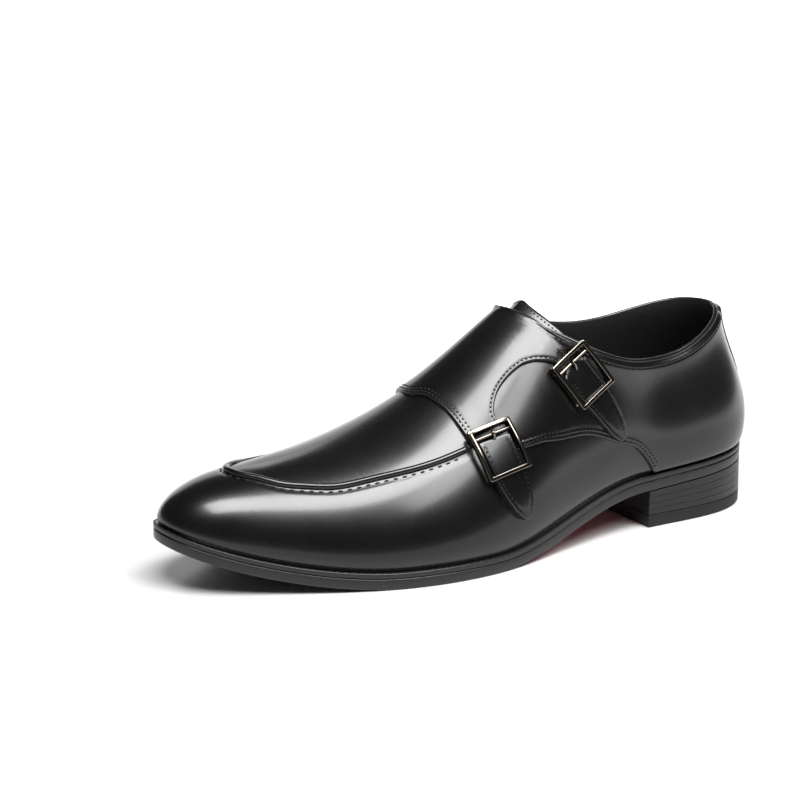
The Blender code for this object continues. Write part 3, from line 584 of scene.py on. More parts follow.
def fillOutline(spots, count):
    # Delaunay triangles over the places, of which the first count are the closed outline
    found = delaunay_2d_cdt([Vector(spot) for spot in spots * flat],
                            [(i, (i + 1) % count) for i in range(count)], [], 1, 1e-9)
    return (np.array([tuple(spot) for spot in found[0]]) / flat,
            np.array([face for face in found[2] if len(face) == 3]))


def finePanel(name, runs, lift, thickness, finishes, node, stitched=(), spacing=cut["spacing"],
              roll=cut["roll"]):
    # leather over the last: the height falls off as a quarter circle in the last roll before
    # the cut edge, dips as a bell curve under each stitch row, and the edge drops to its foot.
    # stitched: (number of the run, distances from it)
    places = [run if len(run) > 40 else runPlaces(run, cut["edgeStep"]) for run in runs]
    outline = np.concatenate([run[:-1] for run in places])
    inward = sideSteps(outline, True)
    probe = outline[::7] + inward[::7] * 0.0008
    turn = 1 if insideOutline(probe * flat, outline * flat).mean() > 0.5 else -1
    edge = skin(*outline.T)
    rows = [distance for _, distances in stitched for distance in distances]
    spots = panelSpots(outline, edge, turn * inward, rows, spacing)
    spots, faces = fillOutline(spots, len(outline))
    distance = segmentDistance(skin(*spots.T), edge, True)
    fall = np.clip(1 - distance / roll, 0, 1)
    height = liftAt(lift, *spots.T) + thickness - roll * (1 - np.sqrt(1 - fall**2))
    stitchPaths = []
    for number, distances in stitched:
        path = places[number]
        line = skin(*path.T)
        toRun = segmentDistance(skin(*spots.T), line, False)
        for row in distances:
            height -= cut["groove"] * np.exp(-((toRun - row) / cut["grooveHalf"])**2)
            inset = insetPath(path, turn * row, trim=0.8 * row)
            away = segmentDistance(skin(*inset.T), line, False)
            stitchPaths.append(inset[abs(away - row) < 0.35 * row])
    top = skin(*spots.T, height)
    across = np.cross(top[faces[:, 1]] - top[faces[:, 0]], top[faces[:, 2]] - top[faces[:, 0]])
    if (across * skinAndNormal(*spots[faces[:, 0]].T)[1]).sum() < 0:
        faces = faces[:, ::-1]
    # the cut edge: every side of a triangle that is used once is on the border
    pairs = np.concatenate([faces[:, [0, 1]], faces[:, [1, 2]], faces[:, [2, 0]]])
    known = {tuple(pair) for pair in pairs}
    border = np.array([pair for pair in known if pair[::-1] not in known])
    bottom = skin(*spots[border[:, 0]].T, np.full(len(border), cut["foot"]))
    number = {start: len(spots) + i for i, start in enumerate(border[:, 0])}
    skirt = [(b, a, number[a], number[b]) for a, b in border]
    slots = np.concatenate([(distance[faces].max(1) < cut["inked"]).astype(int),
                            np.ones(len(skirt), dtype=int)])
    piece = addPiece(name, np.concatenate([top, bottom]), faces.tolist() + skirt, finishes,
                     slots=slots, angle=60)
    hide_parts(node)
    for path in stitchPaths:
        if len(path) > 3:
            stitchAlong(path, lambda around, up: liftAt(lift, around, up)
                        + thickness - cut["threadSink"])


# Leather of each panel, in metres, with its lift off the upper; turn and climb are in shares of
# the way up and round; rows are distances of the stitch rows from the edge
quarter = {"thickness": 0.0012, "lift": 1.6 * last["gap"], "turnFrom": 0.955, "turnRun": 0.035,
           "rimStand": 0.0004, "tuck": 0.0007, "tuckRun": 0.035}
saddle = {"thickness": 0.0014, "lift": quarter["lift"] + quarter["thickness"] + 1.5 * last["gap"],
          "startAt": 0.41, "startRun": 0.09, "climbAt": 0.55, "climbRun": 0.10,
          "climbTop": 1.02, "climbUp": 0.45}
gore = {"thickness": 0.0008, "roll": 0.0003}
stay = {"thickness": 0.0010, "lift": saddle["lift"] - 0.0004, "roll": 0.0005}
strap = {"thickness": 0.0014, "lift": saddle["lift"] + 0.0003, "width": 0.0156, "spacing": 0.0012}
rows = {"seam": (0.0016, 0.0034), "rim": (0.0028,), "stay": (0.0014,), "strap": (0.0017,),
        "saddleFront": (0.0015, 0.0033), "scallop": (0.0015,), "saddleRear": (0.0016,)}


def tuckIn(up):
    # just above the welt the leather draws in, as a bell curve of the way up
    return quarter["tuck"] * np.exp(-(up / quarter["tuckRun"])**2)


def quarterRise(around, up):
    # over the upper, but turned in along the top line by a smooth step
    turned = ease((up - quarter["turnFrom"]) / quarter["turnRun"])
    drop = quarter["lift"] + quarter["thickness"] - quarter["rimStand"]
    return quarter["lift"] - drop * turned - tuckIn(up)


def saddleRise(around, up):
    # low on the vamp, climbing by smooth steps on to the quarter of the outer side
    below = 1 - ease((saddle["climbTop"] - up) / saddle["climbUp"])
    ahead = 1 - ease((around - saddle["climbAt"]) / saddle["climbRun"])
    outer = (1 - below * ahead) * (up <= 1)
    start = ease((around - saddle["startAt"]) / saddle["startRun"])
    return last["gap"] + (saddle["lift"] - last["gap"]) * start * outer


# edges as places around and up: the solids' outlines, some of them fitted closer
outlines = {
    "quarterSeam": [(0.468, 0.460), (0.479, 0.412), (0.4911, 0.3895), (0.5374, 0.345),
                    (0.566, 0.322), (0.607, 0.332), (0.645, 0.360), (0.672, 0.334),
                    (0.6984, 0.284), (0.7183, 0.1753), (0.734, 0.0615), (0.7385, 0.020)],
    "quarterFront": [(0.620, 0.995), (0.608, 0.880), (0.580, 0.755), (0.520, 0.735),
                     (0.482, 0.640), (0.468, 0.460)],
    "innerSeam": [(1.254, 0.020), (1.262, 0.060), (1.300, 0.235), (1.370, 0.335),
                  (1.430, 0.365), (1.495, 0.375), (1.540, 0.380), (1.570, 0.385)],
    "innerFront": [(1.493, 0.435), (1.472, 0.570), (1.435, 0.720), (1.393, 0.850),
                   (1.355, 0.995)],
    "saddleFront": [(0.436, 1.590), (0.427, 1.420), (0.410, 1.200), (0.401, 1.050),
                    (0.403, 0.950), (0.4116, 0.885), (0.4166, 0.812), (0.4216, 0.735),
                    (0.4265, 0.637), (0.4315, 0.541), (0.4345, 0.500)],
    "saddleScallop": [(0.4850, 0.482), (0.4770, 0.537), (0.4833, 0.596), (0.4950, 0.628),
                      (0.5155, 0.646), (0.5370, 0.648), (0.5565, 0.640), (0.5774, 0.630),
                      (0.5960, 0.632)],
    "saddleRear": [(0.605, 1.015), (0.585, 1.120), (0.545, 1.300), (0.522, 1.450),
                   (0.506, 1.560)],
    "apron": [(0.424, 0.506), (0.389, 0.521), (0.359, 0.537), (0.322, 0.560),
              (0.287, 0.571), (0.237, 0.575), (0.200, 0.606), (0.160, 0.652),
              (0.117, 0.735), (0.060, 0.800), (0.000, 0.830)],
}

finePanel("quarterOuter", (
    outlines["quarterSeam"],
    [(0.7385, 0.020), (0.870, 0.020), (0.998, 0.020)],
    [(0.998, 0.020), (0.998, 0.995)],
    [(0.998, 0.995), (0.870, 0.995), (0.740, 0.995), (0.620, 0.995)],
    outlines["quarterFront"],
), quarterRise, quarter["thickness"], (calf, inkedEdge), node="quarter_outer",
    stitched=((0, rows["seam"]), (3, rows["rim"])))
finePanel("quarterInner", (
    [(1.002, 0.995), (1.002, 0.020)],
    [(1.002, 0.020), (1.130, 0.020), (1.254, 0.020)],
    outlines["innerSeam"],
    [(1.570, 0.385), (1.567, 0.402)],
    [(1.567, 0.402), (1.493, 0.435)],
    outlines["innerFront"],
    [(1.355, 0.995), (1.240, 0.995), (1.130, 0.995), (1.002, 0.995)],
), quarterRise, quarter["thickness"], (calf, inkedEdge), node="quarter_inner",
    stitched=((2, rows["seam"]), (5, rows["seam"]), (6, rows["rim"])))
finePanel("goreWeb", (
    [(1.4625, 0.630), (1.4500, 0.700), (1.4100, 0.880), (1.3910, 0.985)],
    [(1.3910, 0.985), (1.3610, 0.985)],
    [(1.3610, 0.985), (1.4010, 0.850), (1.4420, 0.720), (1.4595, 0.645)],
    [(1.4595, 0.645), (1.4625, 0.630)],
), quarter["lift"], gore["thickness"], (webbing, webbing), node="gore",
    roll=gore["roll"])
finePanel("backStay", (
    [(0.957, 0.985), (0.964, 0.700), (0.972, 0.420)],
    [(0.972, 0.420), (0.985, 0.355), (1.000, 0.345), (1.015, 0.355), (1.028, 0.420)],
    [(1.028, 0.420), (1.036, 0.700), (1.043, 0.985)],
    [(1.043, 0.985), (1.000, 0.985), (0.957, 0.985)],
), stay["lift"], stay["thickness"], (calf, inkedEdge), node="back_stay", roll=stay["roll"],
    stitched=tuple((run, rows["stay"]) for run in range(3)))
finePanel("saddlePanel", (
    outlines["saddleFront"],
    [(0.4345, 0.500), (0.4850, 0.482)],
    outlines["saddleScallop"],
    [(0.5960, 0.632), (0.6340, 0.950)],
    [(0.6340, 0.950), (0.6286, 0.985)],
    [(0.6286, 0.985), (0.590, 0.985), (0.562, 0.995), (0.5570, 1.000)],
    [(0.5570, 1.000), (0.562, 1.005), (0.585, 1.015), (0.605, 1.015)],
    outlines["saddleRear"],
    [(0.506, 1.560), (0.436, 1.590)],
), saddleRise, saddle["thickness"], (calf, inkedEdge), node="saddle",
    stitched=((0, rows["saddleFront"]), (2, rows["scallop"]), (5, rows["saddleRear"]),
              (7, rows["saddleRear"])))
print("panels ready")


def ribbonOutline(middle, widths):
    # outline of a strap: a spline through the middle line, moved to either side by half of the
    # width, which runs evenly through the widths
    ends = np.array(middle, float)
    place = lengthAlong(skin(*ends.T))
    where = np.linspace(0, place[-1], int(place[-1] / strap["spacing"]))
    line = splineValues(place, ends, splineBends(place, ends), where)
    half = np.interp(where / place[-1], np.linspace(0, 1, len(widths)), widths) / 2
    step = sideSteps(line, False) * half[:, None]
    right, left = line - step, line + step
    tip, start = (runPlaces([a, b], strap["spacing"])
                  for a, b in ((right[-1], left[-1]), (left[0], right[0])))
    return [right, tip, left[::-1], start]


# middle line of each strap, its widths from the buckle to the tip as shares, and its node
straps = {
    "strapFront": ([(0.463, 0.478), (0.4727, 0.3208), (0.481, 0.230), (0.4915, 0.128)],
                   (1, 1, 1, 1, 0.9, 0.72, 0.25), "strap_front"),
    "strapRear": ([(0.6165, 0.736), (0.6280, 0.683), (0.6430, 0.618), (0.6575, 0.520),
                   (0.6740, 0.372)],
                  (0.92, 0.92, 0.92, 0.92, 0.86, 0.78, 0.62, 0.3), "strap_rear"),
}
for name, (middle, shares, node) in straps.items():
    finePanel(name, ribbonOutline(middle, strap["width"] * np.array(shares)), strap["lift"],
              strap["thickness"], (calf, inkedEdge), node=node,
              stitched=((0, rows["strap"]), (2, rows["strap"])), spacing=strap["spacing"])
print("straps ready")


apron = outlines["apron"] + [(-a, t) for a, t in outlines["apron"][-2::-1]]
apronPath = runPlaces(apron, 0.0012)
apronLine = skin(*apronPath.T)
# Upper: count of ribs and of places on each, and the trough beside the apron seam, in metres
upper = {"ribs": 440, "heights": 72, "trough": 0.00035, "troughAway": 0.0024, "troughHalf": 0.0010}


def upperDip(points, around, up):
    # a shallow trough beside the seam, a bell curve of the distance, on its outer side only
    away = segmentDistance(points.reshape(-1, 3), apronLine, False).reshape(points.shape[:-1])
    half = apronPath[:len(apronPath) // 2 + 1][::-1]
    seam = np.interp(fromToe(around), half[:, 0], half[:, 1])
    bell = np.exp(-((away - upper["troughAway"]) / upper["troughHalf"])**2)
    return np.where(up < seam, -upper["trough"] * bell, 0.0)


def makeUpper():
    # ribs all round; at the collar a half circle over the wall leads to the lining, which is
    # the same surface one wall further in
    around = np.linspace(0, 2, upper["ribs"] + 1)[:-1]
    ups = np.linspace(0, 1, upper["heights"])
    base, normal = skinAndNormal(around[:, None], ups[None])
    lift = upperDip(base, around[:, None], ups[None]) - tuckIn(ups)[None]
    outer = base + normal * lift[..., None]
    wall = last["wall"]
    inner = skin(around[:, None], ups[::-6][None], -wall)
    turn = np.radians((30, 60, 90, 120, 150))
    crest = base[:, -1:] - normal[:, -1:] * wall / 2
    rise = unit(base[:, -1] - base[:, -4])
    rim = (crest + normal[:, -1:] * (wall / 2 * np.cos(turn))[None, :, None]
           + rise[:, None] * (wall / 2 * np.sin(turn))[None, :, None])
    # along the spine both sides meet, so there the rim lies flat and its faces are left out
    outerHalf = np.arange(len(turn))[None, :, None] <= len(turn) // 2
    flatRim = np.where(outerHalf, outer[:, -1:], inner[:, :1])
    rim = np.where((fromToe(around) > throat)[:, None, None], rim, flatRim)
    points = np.concatenate([outer, rim, inner], axis=1)
    columns = points.shape[1]
    faces = gridFaces(len(around), columns, closedRows=True)
    column = faces[:, 0] % columns
    onSpine = fromToe(around[faces[:, 0] // columns]) < throat - 0.003
    bridge = (column >= len(ups) - 1) & (column < len(ups) + len(turn))
    keep = ~(onSpine & bridge)
    piece = addPiece("upperShell", points.reshape(-1, 3), faces[keep], (calf, liningHide),
                     slots=(column[keep] > len(ups) + len(turn) - 2).astype(int), merge=2e-5)
    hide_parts("upper")


makeUpper()


# Apron seam, in metres: half round and its two stitch rows, coarse hand stitches outside the
# ridge, at a positive distance, and fine ones just inside it
ridge = {"radius": 0.0015, "lift": 0.0001, "underTurn": 0.35, "corners": 16, "sink": 0.00022,
         "trim": 0.002}
ridgeRows = ((0.0025, {"pitch": 0.0040, "length": 0.0027, "radius": 0.00046}),
             (-0.0023, {"pitch": 0.0024, "length": 0.0017, "radius": 0.0002}))


def makeRidge():
    # a half circle swept along the seam, its ends sinking under the saddle
    centre, normal = skinAndNormal(*apronPath.T)
    side = np.cross(unit(np.gradient(centre, axis=0)), normal)
    turn = np.linspace(-ridge["underTurn"], np.pi + ridge["underTurn"], ridge["corners"])
    rise = ridge["radius"] * np.sin(turn) + ridge["lift"]
    points = (centre[:, None] + side[:, None] * (ridge["radius"] * np.cos(turn))[None, :, None]
              + normal[:, None] * rise[None, :, None])
    piece = addPiece("apronRidge", points.reshape(-1, 3), gridFaces(len(centre), len(turn)), (calf,))
    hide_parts("apron_ridge")
    for away, size in ridgeRows:
        path = insetPath(apronPath, away, trim=ridge["trim"])
        stitchAlong(path, -ridge["sink"], **size)


makeRidge()
print("upper ready")


def layer(name, rings, finishes, node, first=None, pick=None):
    # one layer of the sole: rings bottom to top, each an offset from the feather line and a
    # height by the share along the foot; closed below and above by rungs across
    whole = first is None
    sides = np.linspace(0 if whole else first, 1, 230 if whole else 110)
    around = np.concatenate([sides, 2 - sides[-2:(0 if whole else None):-1]])
    plan, normal, _ = feather(around)
    points = []
    for offset, height in rings:
        spots = plan + normal * offset
        if not whole:
            spots[[0, -1], 1] = yOf(last["breastAlong"]) - offset
        along = alongOf(spots[:, 1])
        points.append(np.column_stack([spots, height(along) + 0 * along]))
    count, steps = len(around), np.arange(len(sides) - 1)
    mirror = count if whole else count - 1
    ladder = np.stack([steps, steps + 1, (mirror - steps - 1) % count,
                       (mirror - steps) % count], -1)
    top = (len(rings) - 1) * count
    walls = gridFaces(len(rings), count, closedColumns=True)[:, ::-1]
    faces = [tuple(dict.fromkeys(face)) for face in np.concatenate(
        [walls, ladder[:, ::-1], top + ladder]).tolist()]
    points = np.concatenate(points)
    slots = pick(points, faces, len(walls), len(ladder)) if pick else None
    piece = addPiece(name, points, [face for face in faces if len(face) > 2], finishes,
                     slots=slots, angle=35)
    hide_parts(node)


# Outsole underside: black on the tread, dull dark red stain at the waist
tread = makeMaterial("treadLeather", "141415", {"Roughness": 0.55}, (
    ("ShaderNodeTexNoise", 0.003, 0.2, 0.0002, {"Detail": 4.0}),))
stainedWaist = makeMaterial("stainedWaist", "8c1420", {"Roughness": 0.5}, (
    ("ShaderNodeTexNoise", 0.004, 0.2, 0.0002, {"Detail": 4.0}),))
# Sole, in metres: quarter rounds of the edges, flare of the heel and depth of its level lines.
# lines and lineHalf are shares of the stack's height, redFrom a share along the foot
sole = {"soleRound": 0.0007, "weltRound": 0.0004, "sockRound": 0.0006, "heelRound": 0.0004,
        "flare": 0.0004, "lines": (0.25, 0.5, 0.75), "lineDepth": 0.00012, "lineHalf": 0.010,
        "liftRings": 61, "redFrom": 0.50}
weltRow = {"out": 0.00085, "lift": 0.0001, "pitch": 0.0034, "length": 0.0026, "radius": 0.0003,
           "dip": 0.0003, "ends": 0.002, "pastBreast": 0.02}
curve = np.radians((0, 22, 45, 68, 90))
underWelt = last["outsole"] + last["gap"]
inside = -(last["wall"] + 2 * last["gap"])
liftBase = last["topPiece"] + last["gap"]


def rounded(low, high, offset, radius):
    # rings of a wall whose lower and upper edges are quarter rounds
    rings = [(offset - radius * (1 - np.sin(a)), low, radius * (1 - np.cos(a))) for a in curve]
    rings += [(offset - radius * (1 - np.cos(a)), high, -radius * (1 - np.sin(a))) for a in curve]
    return [(out, lambda along, at=at, more=more: at(along) + more) for out, at, more in rings]


def pickSole(points, faces, walls, rungs):
    # finish of each face: edge on the walls, stain on the rungs at the waist, tread elsewhere
    kinds = np.zeros(len(faces), dtype=int)
    for number in range(walls, walls + rungs):
        along = alongOf(points[list(faces[number]), 1].mean())
        kinds[number] = 2 if along > sole["redFrom"] else 1
    return kinds


def outsoleTop(along):
    return soleBottom(along) + last["outsole"]


def weltBottom(along):
    return soleBottom(along) + underWelt


def weltTop(along):
    return weltBottom(along) + last["welt"]


def sockTop(along):
    return featherHeight(along) + last["insole"]


def findBreast():
    # place round the foot where the heel's breast crosses the feather line
    fine = np.linspace(0.6, 0.95, 2001)
    return float(np.interp(yOf(last["breastAlong"]), feather(fine)[0][:, 1], fine))


def stackRings():
    # straight walls with a slight flare and a shallow groove, a bell curve, at each level line
    rings = []
    for share in np.linspace(0, 1, sole["liftRings"]):
        line = min(abs(share - at) for at in sole["lines"])
        depth = sole["lineDepth"] * np.exp(-(line / sole["lineHalf"])**2)
        offset = last["overhang"] + sole["flare"] * (1 - share) - depth
        rings.append((offset, lambda along, share=share: liftBase
                      + (soleBottom(along) - last["gap"] - liftBase) * share))
    return rings


breast = findBreast()
layer("outsoleBody", rounded(soleBottom, outsoleTop, last["overhang"], sole["soleRound"]),
      (soleEdge, tread, stainedWaist), "outsole", pick=pickSole)
layer("weltStrip", rounded(weltBottom, weltTop, last["overhang"], sole["weltRound"]),
      (soleEdge,), "welt")
layer("insoleSock", rounded(featherHeight, sockTop, inside, sole["sockRound"]),
      (liningHide,), "insole")
layer("heelStack", stackRings(), (stackedHeel,), "heel_stack", first=breast)
layer("heelTopPiece", rounded(lambda along: 0 * along, lambda along: 0 * along + last["topPiece"],
                              last["overhang"] + sole["flare"], sole["heelRound"]),
      (moulded,), "heel_top_piece", first=breast)


def makeWeltStitches():
    # a row that lies on the welt, half way from the upper to its edge, from breast to breast
    sides = np.linspace(0.0, 2.0, 6001)
    behind = breast + weltRow["pastBreast"]
    sides = sides[(sides < behind) | (sides > 2 - behind)]
    sides = np.sort(np.where(sides > 1, sides - 2, sides))
    plan, normal, _ = feather(sides)
    spots = plan + normal * weltRow["out"]
    line = np.column_stack([spots, weltTop(alongOf(spots[:, 1])) + weltRow["lift"]])
    place = lengthAlong(line)
    starts = np.arange(weltRow["ends"], place[-1] - weltRow["ends"], weltRow["pitch"])
    centres = readLine(line, place, stitchPlaces(starts, weltRow["length"]))
    upward = np.broadcast_to(np.array([0.0, 0.0, 1.0]), centres.shape)
    piece = addPiece("weltStitches", *capsules(centres, upward, weltRow["radius"], weltRow["dip"]),
                     (thread,))


makeWeltStitches()
print("sole ready")

# Tongue, in metres but for start, halfWidth, spread and the powers of its shares: start is the
# place ahead, halfWidth the share of the ribs that it covers, stand its rise over the collar
tongue = {"under": 0.0016, "start": 0.480, "halfWidth": 0.36, "past": 0.003, "spread": 0.070,
          "lean": 0.010, "crownIn": 0.0025, "stand": 0.0048, "thickness": 0.0018,
          "rowIn": 0.0022, "pitch": 0.0022, "threadRadius": 0.00038, "rowEnds": 0.003}


def tongueSurface():
    # the inside of the instep, carried on past the throat in straight lines to the free edge,
    # which follows the collar line from inside and stands up above it in the middle
    depth = last["wall"] + tongue["under"]
    ahead = np.linspace(tongue["start"], throat - 0.004, 40)
    share = np.linspace(-1, 1, 81)
    rows = skin(ahead[:, None], 1 + tongue["halfWidth"] * share[None], -depth)
    middle = len(share) // 2
    slope = unit(rows[-1, middle] - rows[-10, middle])
    beside = throat + tongue["past"] + tongue["spread"] * share**2
    edge = topLine(np.where(share > 0, 2 - beside, beside))
    inwards = unit(np.column_stack([edge[middle, 0] - edge[:, 0],
                                    np.full(len(share), tongue["lean"])]))
    edge[:, :2] += inwards * (depth + tongue["crownIn"] * (1 - share**4))[:, None]
    edge += slope * (tongue["stand"] * (1 - share**6))[:, None]
    out = np.linspace(0, 1, 28)[1:, None, None]
    return share, rows[-1], edge, np.concatenate([rows, rows[-1] * (1 - out) + edge * out])


def makeTongue():
    # a leaf of even thickness whose free edges are rounded by a quarter circle
    share, lastRow, edge, grid = tongueSurface()
    normal = unit(np.cross(np.gradient(grid, axis=0), np.gradient(grid, axis=1)))
    count, columns = grid.shape[:2]
    fromEdge = np.minimum(np.arange(count)[::-1, None] * 0.0005,
                          (1 - np.abs(share))[None] * 0.018)
    half = tongue["thickness"] / 2
    thick = tongue["thickness"] * np.sqrt(1 - np.clip(1 - fromEdge / half, 0, 0.97)**2)
    middle = grid - normal * half
    both = np.concatenate([(middle + normal * (thick / 2)[..., None]).reshape(-1, 3),
                           (middle - normal * (thick / 2)[..., None]).reshape(-1, 3)])
    faces = gridFaces(count, columns)
    under = gridFaces(count, columns, start=count * columns)[:, ::-1]
    loop = np.concatenate([np.arange(columns), np.arange(1, count) * columns + columns - 1,
                           (count - 1) * columns + np.arange(columns - 1)[::-1],
                           np.arange(1, count - 1)[::-1] * columns])
    after = np.roll(loop, -1)
    rim = np.stack([loop, loop + count * columns, after + count * columns, after], -1)
    slots = np.repeat([0, 1, 0], [len(faces), len(under), len(rim)])
    piece = addPiece("tongueLeaf", both, np.concatenate([faces, under, rim]), (calf, liningHide),
                     slots=slots, angle=80)
    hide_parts("tongue")
    # one stitch row inside the free edge
    size = np.linalg.norm(edge - lastRow, axis=1)
    row = edge + (lastRow - edge) * (tongue["rowIn"] / size)[:, None]
    place = lengthAlong(row)
    starts = np.arange(tongue["rowEnds"], place[-1] - tongue["rowEnds"], tongue["pitch"])
    where = stitchPlaces(starts, stitch["length"])
    upward = unit(readLine(normal[-4], place, where))
    stitchRows.append(capsules(readLine(row, place, where), upward, tongue["threadRadius"],
                               stitch["dip"]))


makeTongue()


# Buckles, in metres: rod, bar radius and prong radius; ride is the clearance over the strap
# beyond the usual gap, and bow an extra bend across the strap, in 1 over metres
buckle = {"length": 0.0242, "width": 0.0215, "height": 0.0024, "rod": 0.0018, "ride": -0.0002,
          "corner": 0.0011, "flatSides": 0.3, "bar": 0.0007, "barInset": 0.0030, "prong": 0.0006,
          "bow": 8.0}


def lay(seat, u, v):
    # point of the skin u and v away from the seat's middle in its tangent plane, found by
    # Newton steps in the place
    around, up = np.full(u.shape, seat["place"][0]), np.full(u.shape, seat["place"][1])
    small = 1e-3
    for _ in range(8):
        here = skin(around, up)
        byAround = (skin(around + small, up) - here) / small
        byUp = (skin(around, up + small) - here) / small
        missU = (here - seat["middle"]) @ seat["ahead"] - u
        missV = (here - seat["middle"]) @ seat["side"] - v
        a1, a2 = byAround @ seat["ahead"], byUp @ seat["ahead"]
        b1, b2 = byAround @ seat["side"], byUp @ seat["side"]
        scale = a1 * b2 - a2 * b1
        around = around - (missU * b2 - missV * a2) / scale
        up = up - (missV * a1 - missU * b1) / scale
    return skin(around, up)


def makeSeat(place, towards):
    # tangent frame of the skin at a place, and how the skin bends away along and across
    middle, out = skinAndNormal(*place)
    ahead = skin(*towards) - middle
    ahead = unit(ahead - out * (ahead @ out))
    seat = {"place": place, "middle": middle, "out": out, "ahead": ahead,
            "side": np.cross(out, ahead)}
    probe = 0.3 * buckle["length"]
    ends, still = np.array([-probe, probe]), np.zeros(2)
    seat["bendU"] = -((lay(seat, ends, still) - middle) @ out).mean() / probe**2
    seat["bendV"] = -((lay(seat, still, ends) - middle) @ out).mean() / probe**2
    return seat


def overSeat(seat, u, v, lift):
    # a point over the seat: its height falls off by a parabola each way, as the foot bends
    u, v, lift = np.broadcast_arrays(u, v, lift)
    height = lift - seat["bendU"] * u**2 - (seat["bendV"] + buckle["bow"]) * v**2
    return (seat["middle"] + seat["ahead"] * u[..., None] + seat["side"] * v[..., None]
            + seat["out"] * height[..., None])


def softSquare(angle, power):
    # superellipse: cosine and sine with flattened sides
    c, s = np.cos(angle), np.sin(angle)
    return np.sign(c) * np.abs(c)**power, np.sign(s) * np.abs(s)**power


def roundedLoop(halfU, halfV, corner):
    # a rectangle with round corners: its places, and the way outwards at each
    corners = ((1, 1), (-1, 1), (-1, -1), (1, -1))
    path, push = [], []
    for turn in range(4):
        centre, after = (np.array([halfU, halfV]) * corners[i % 4] for i in (turn, turn + 1))
        angle = np.radians(np.linspace(0, 90, 10)) + turn * np.pi / 2
        way = np.column_stack([np.cos(angle), np.sin(angle)])
        arc = centre + way * corner
        share = np.linspace(0, 1, 14)[1:-1, None]
        path += [arc, arc[-1] + (after + way[-1] * corner - arc[-1]) * share]
        push += [way, np.repeat(way[-1:], len(share), axis=0)]
    return np.concatenate(path), np.concatenate(push)


def makeFrame(name, seat, base):
    # a superellipse section swept round the rounded rectangle
    corner = buckle["corner"]
    path, push = roundedLoop(buckle["length"] / 2 - corner, buckle["width"] / 2 - corner, corner)
    across, over = softSquare(np.linspace(0, 2 * np.pi, 24, endpoint=False), buckle["flatSides"])
    spots = path[:, None] + push[:, None] * (buckle["rod"] / 2 * (across - 1))[None, :, None]
    points = overSeat(seat, spots[..., 0], spots[..., 1],
                      base + buckle["height"] / 2 * (1 + over))
    faces = gridFaces(len(path), len(across), closedRows=True, closedColumns=True)
    return addPiece(name + "Frame", points.reshape(-1, 3), faces, (gunmetal,), angle=70)


def makeBar(name, seat, base, barU, ring):
    # a round bar from side to side
    run = np.linspace(-1, 1, 11) * (buckle["width"] / 2 - buckle["rod"] + 0.0002)
    points = overSeat(seat, barU + buckle["bar"] * np.cos(ring)[None], run[:, None],
                      base + buckle["bar"] + buckle["bar"] * np.sin(ring)[None])
    faces = gridFaces(len(run), len(ring), closedColumns=True)
    return addPiece(name + "Bar", points.reshape(-1, 3), faces, (gunmetal,))


def makeProng(name, seat, base, barU, ring, reach):
    # a round wire over the bar and down into the strap: a spline through its middle line,
    # which is way from the bar, height and share of the radius
    crest = base + 2 * buckle["bar"] + 0.0001 + buckle["prong"]
    low = base - 0.0004
    knot = np.arange(7.0)
    line = np.array([(-0.0016, crest - 0.0016, 0.8), (-0.0009, crest - 0.0003, 1.0),
                     (0.0, crest, 1.0), (0.3 * reach, crest - 0.0003, 1.0),
                     (0.6 * reach, low + 0.0013, 1.0), (0.85 * reach, low + 0.0004, 0.9),
                     (reach, low - 0.0006, 0.7)])
    line = splineValues(knot, line, splineBends(knot, line), np.linspace(0, knot[-1], 40))
    grow = line[:, 2:] * buckle["prong"]
    points = overSeat(seat, barU + line[:, :1] + 0 * ring[None], -grow * np.cos(ring)[None],
                      line[:, 1:2] + grow * np.sin(ring)[None])
    corners, tip = len(ring), len(ring) * (len(line) - 1)
    faces = gridFaces(len(line), corners, closedColumns=True).tolist()
    faces += [tuple(range(corners)), tuple(range(tip, tip + corners))[::-1]]
    return addPiece(name + "Prong", points.reshape(-1, 3), faces, (gunmetal,))


def makeBuckle(name, node, seat, reach):
    base = saddle["lift"] + strap["thickness"] + last["gap"] + buckle["ride"]
    barU = -buckle["length"] / 2 + buckle["rod"] + buckle["barInset"]
    ring = np.linspace(0, 2 * np.pi, 20, endpoint=False)
    frameMesh = makeFrame(name, seat, base)
    barMesh = makeBar(name, seat, base, barU, ring)
    prongMesh = makeProng(name, seat, base, barU, ring, reach)
    for mesh, part in ((frameMesh, "_frame"), (barMesh, "_bar"), (prongMesh, "_prong")):
        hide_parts(node + part)


# a buckle's place and the place that its strap runs towards, then how far its prong reaches
seats = {"front": makeSeat((0.466, 0.427), (0.4727, 0.3208)),
         "rear": makeSeat((0.6257, 0.683), (0.6427, 0.608))}
makeBuckle("buckleFront", "buckle_front", seats["front"], 0.0032)
makeBuckle("buckleRear", "buckle_rear", seats["rear"], 0.0048)

# Holes, in metres: way from each buckle's middle along the strap, radii and heights of the dish
holes = {"front": (-0.0022,), "rear": (-0.0022, 0.0037), "radii": (0.0001, 0.0004, 0.0006, 0.0007),
         "heights": (0.0, 0.00004, 0.00006, 0.00003)}


def makeHoles():
    # punched holes: rings of a small dish with a pressed rim, coloured near black as painted shade
    # for the depth of each hole
    holeShadeFinish = makeMaterial("paintedHoleShade", "020202", {"Roughness": 0.9})
    ring = np.linspace(0, 2 * np.pi, 16, endpoint=False)
    radii, heights = (np.array(holes[key])[:, None] for key in ("radii", "heights"))
    grid = gridFaces(len(radii), len(ring), closedColumns=True)
    points, faces = [], []
    for seatName, seat in seats.items():
        for u in holes[seatName]:
            spot = overSeat(seat, u + radii * np.cos(ring), radii * np.sin(ring),
                            saddle["lift"] + strap["thickness"] + heights)
            faces.append(grid + len(points) * radii.size * ring.size)
            points.append(spot.reshape(-1, 3))
    # the strap is not cut through: these dishes lie on it, and their dark colour is painted shade
    # for the holes
    piece = addPiece("strapHoles", np.concatenate(points), np.concatenate(faces), (holeShadeFinish,))


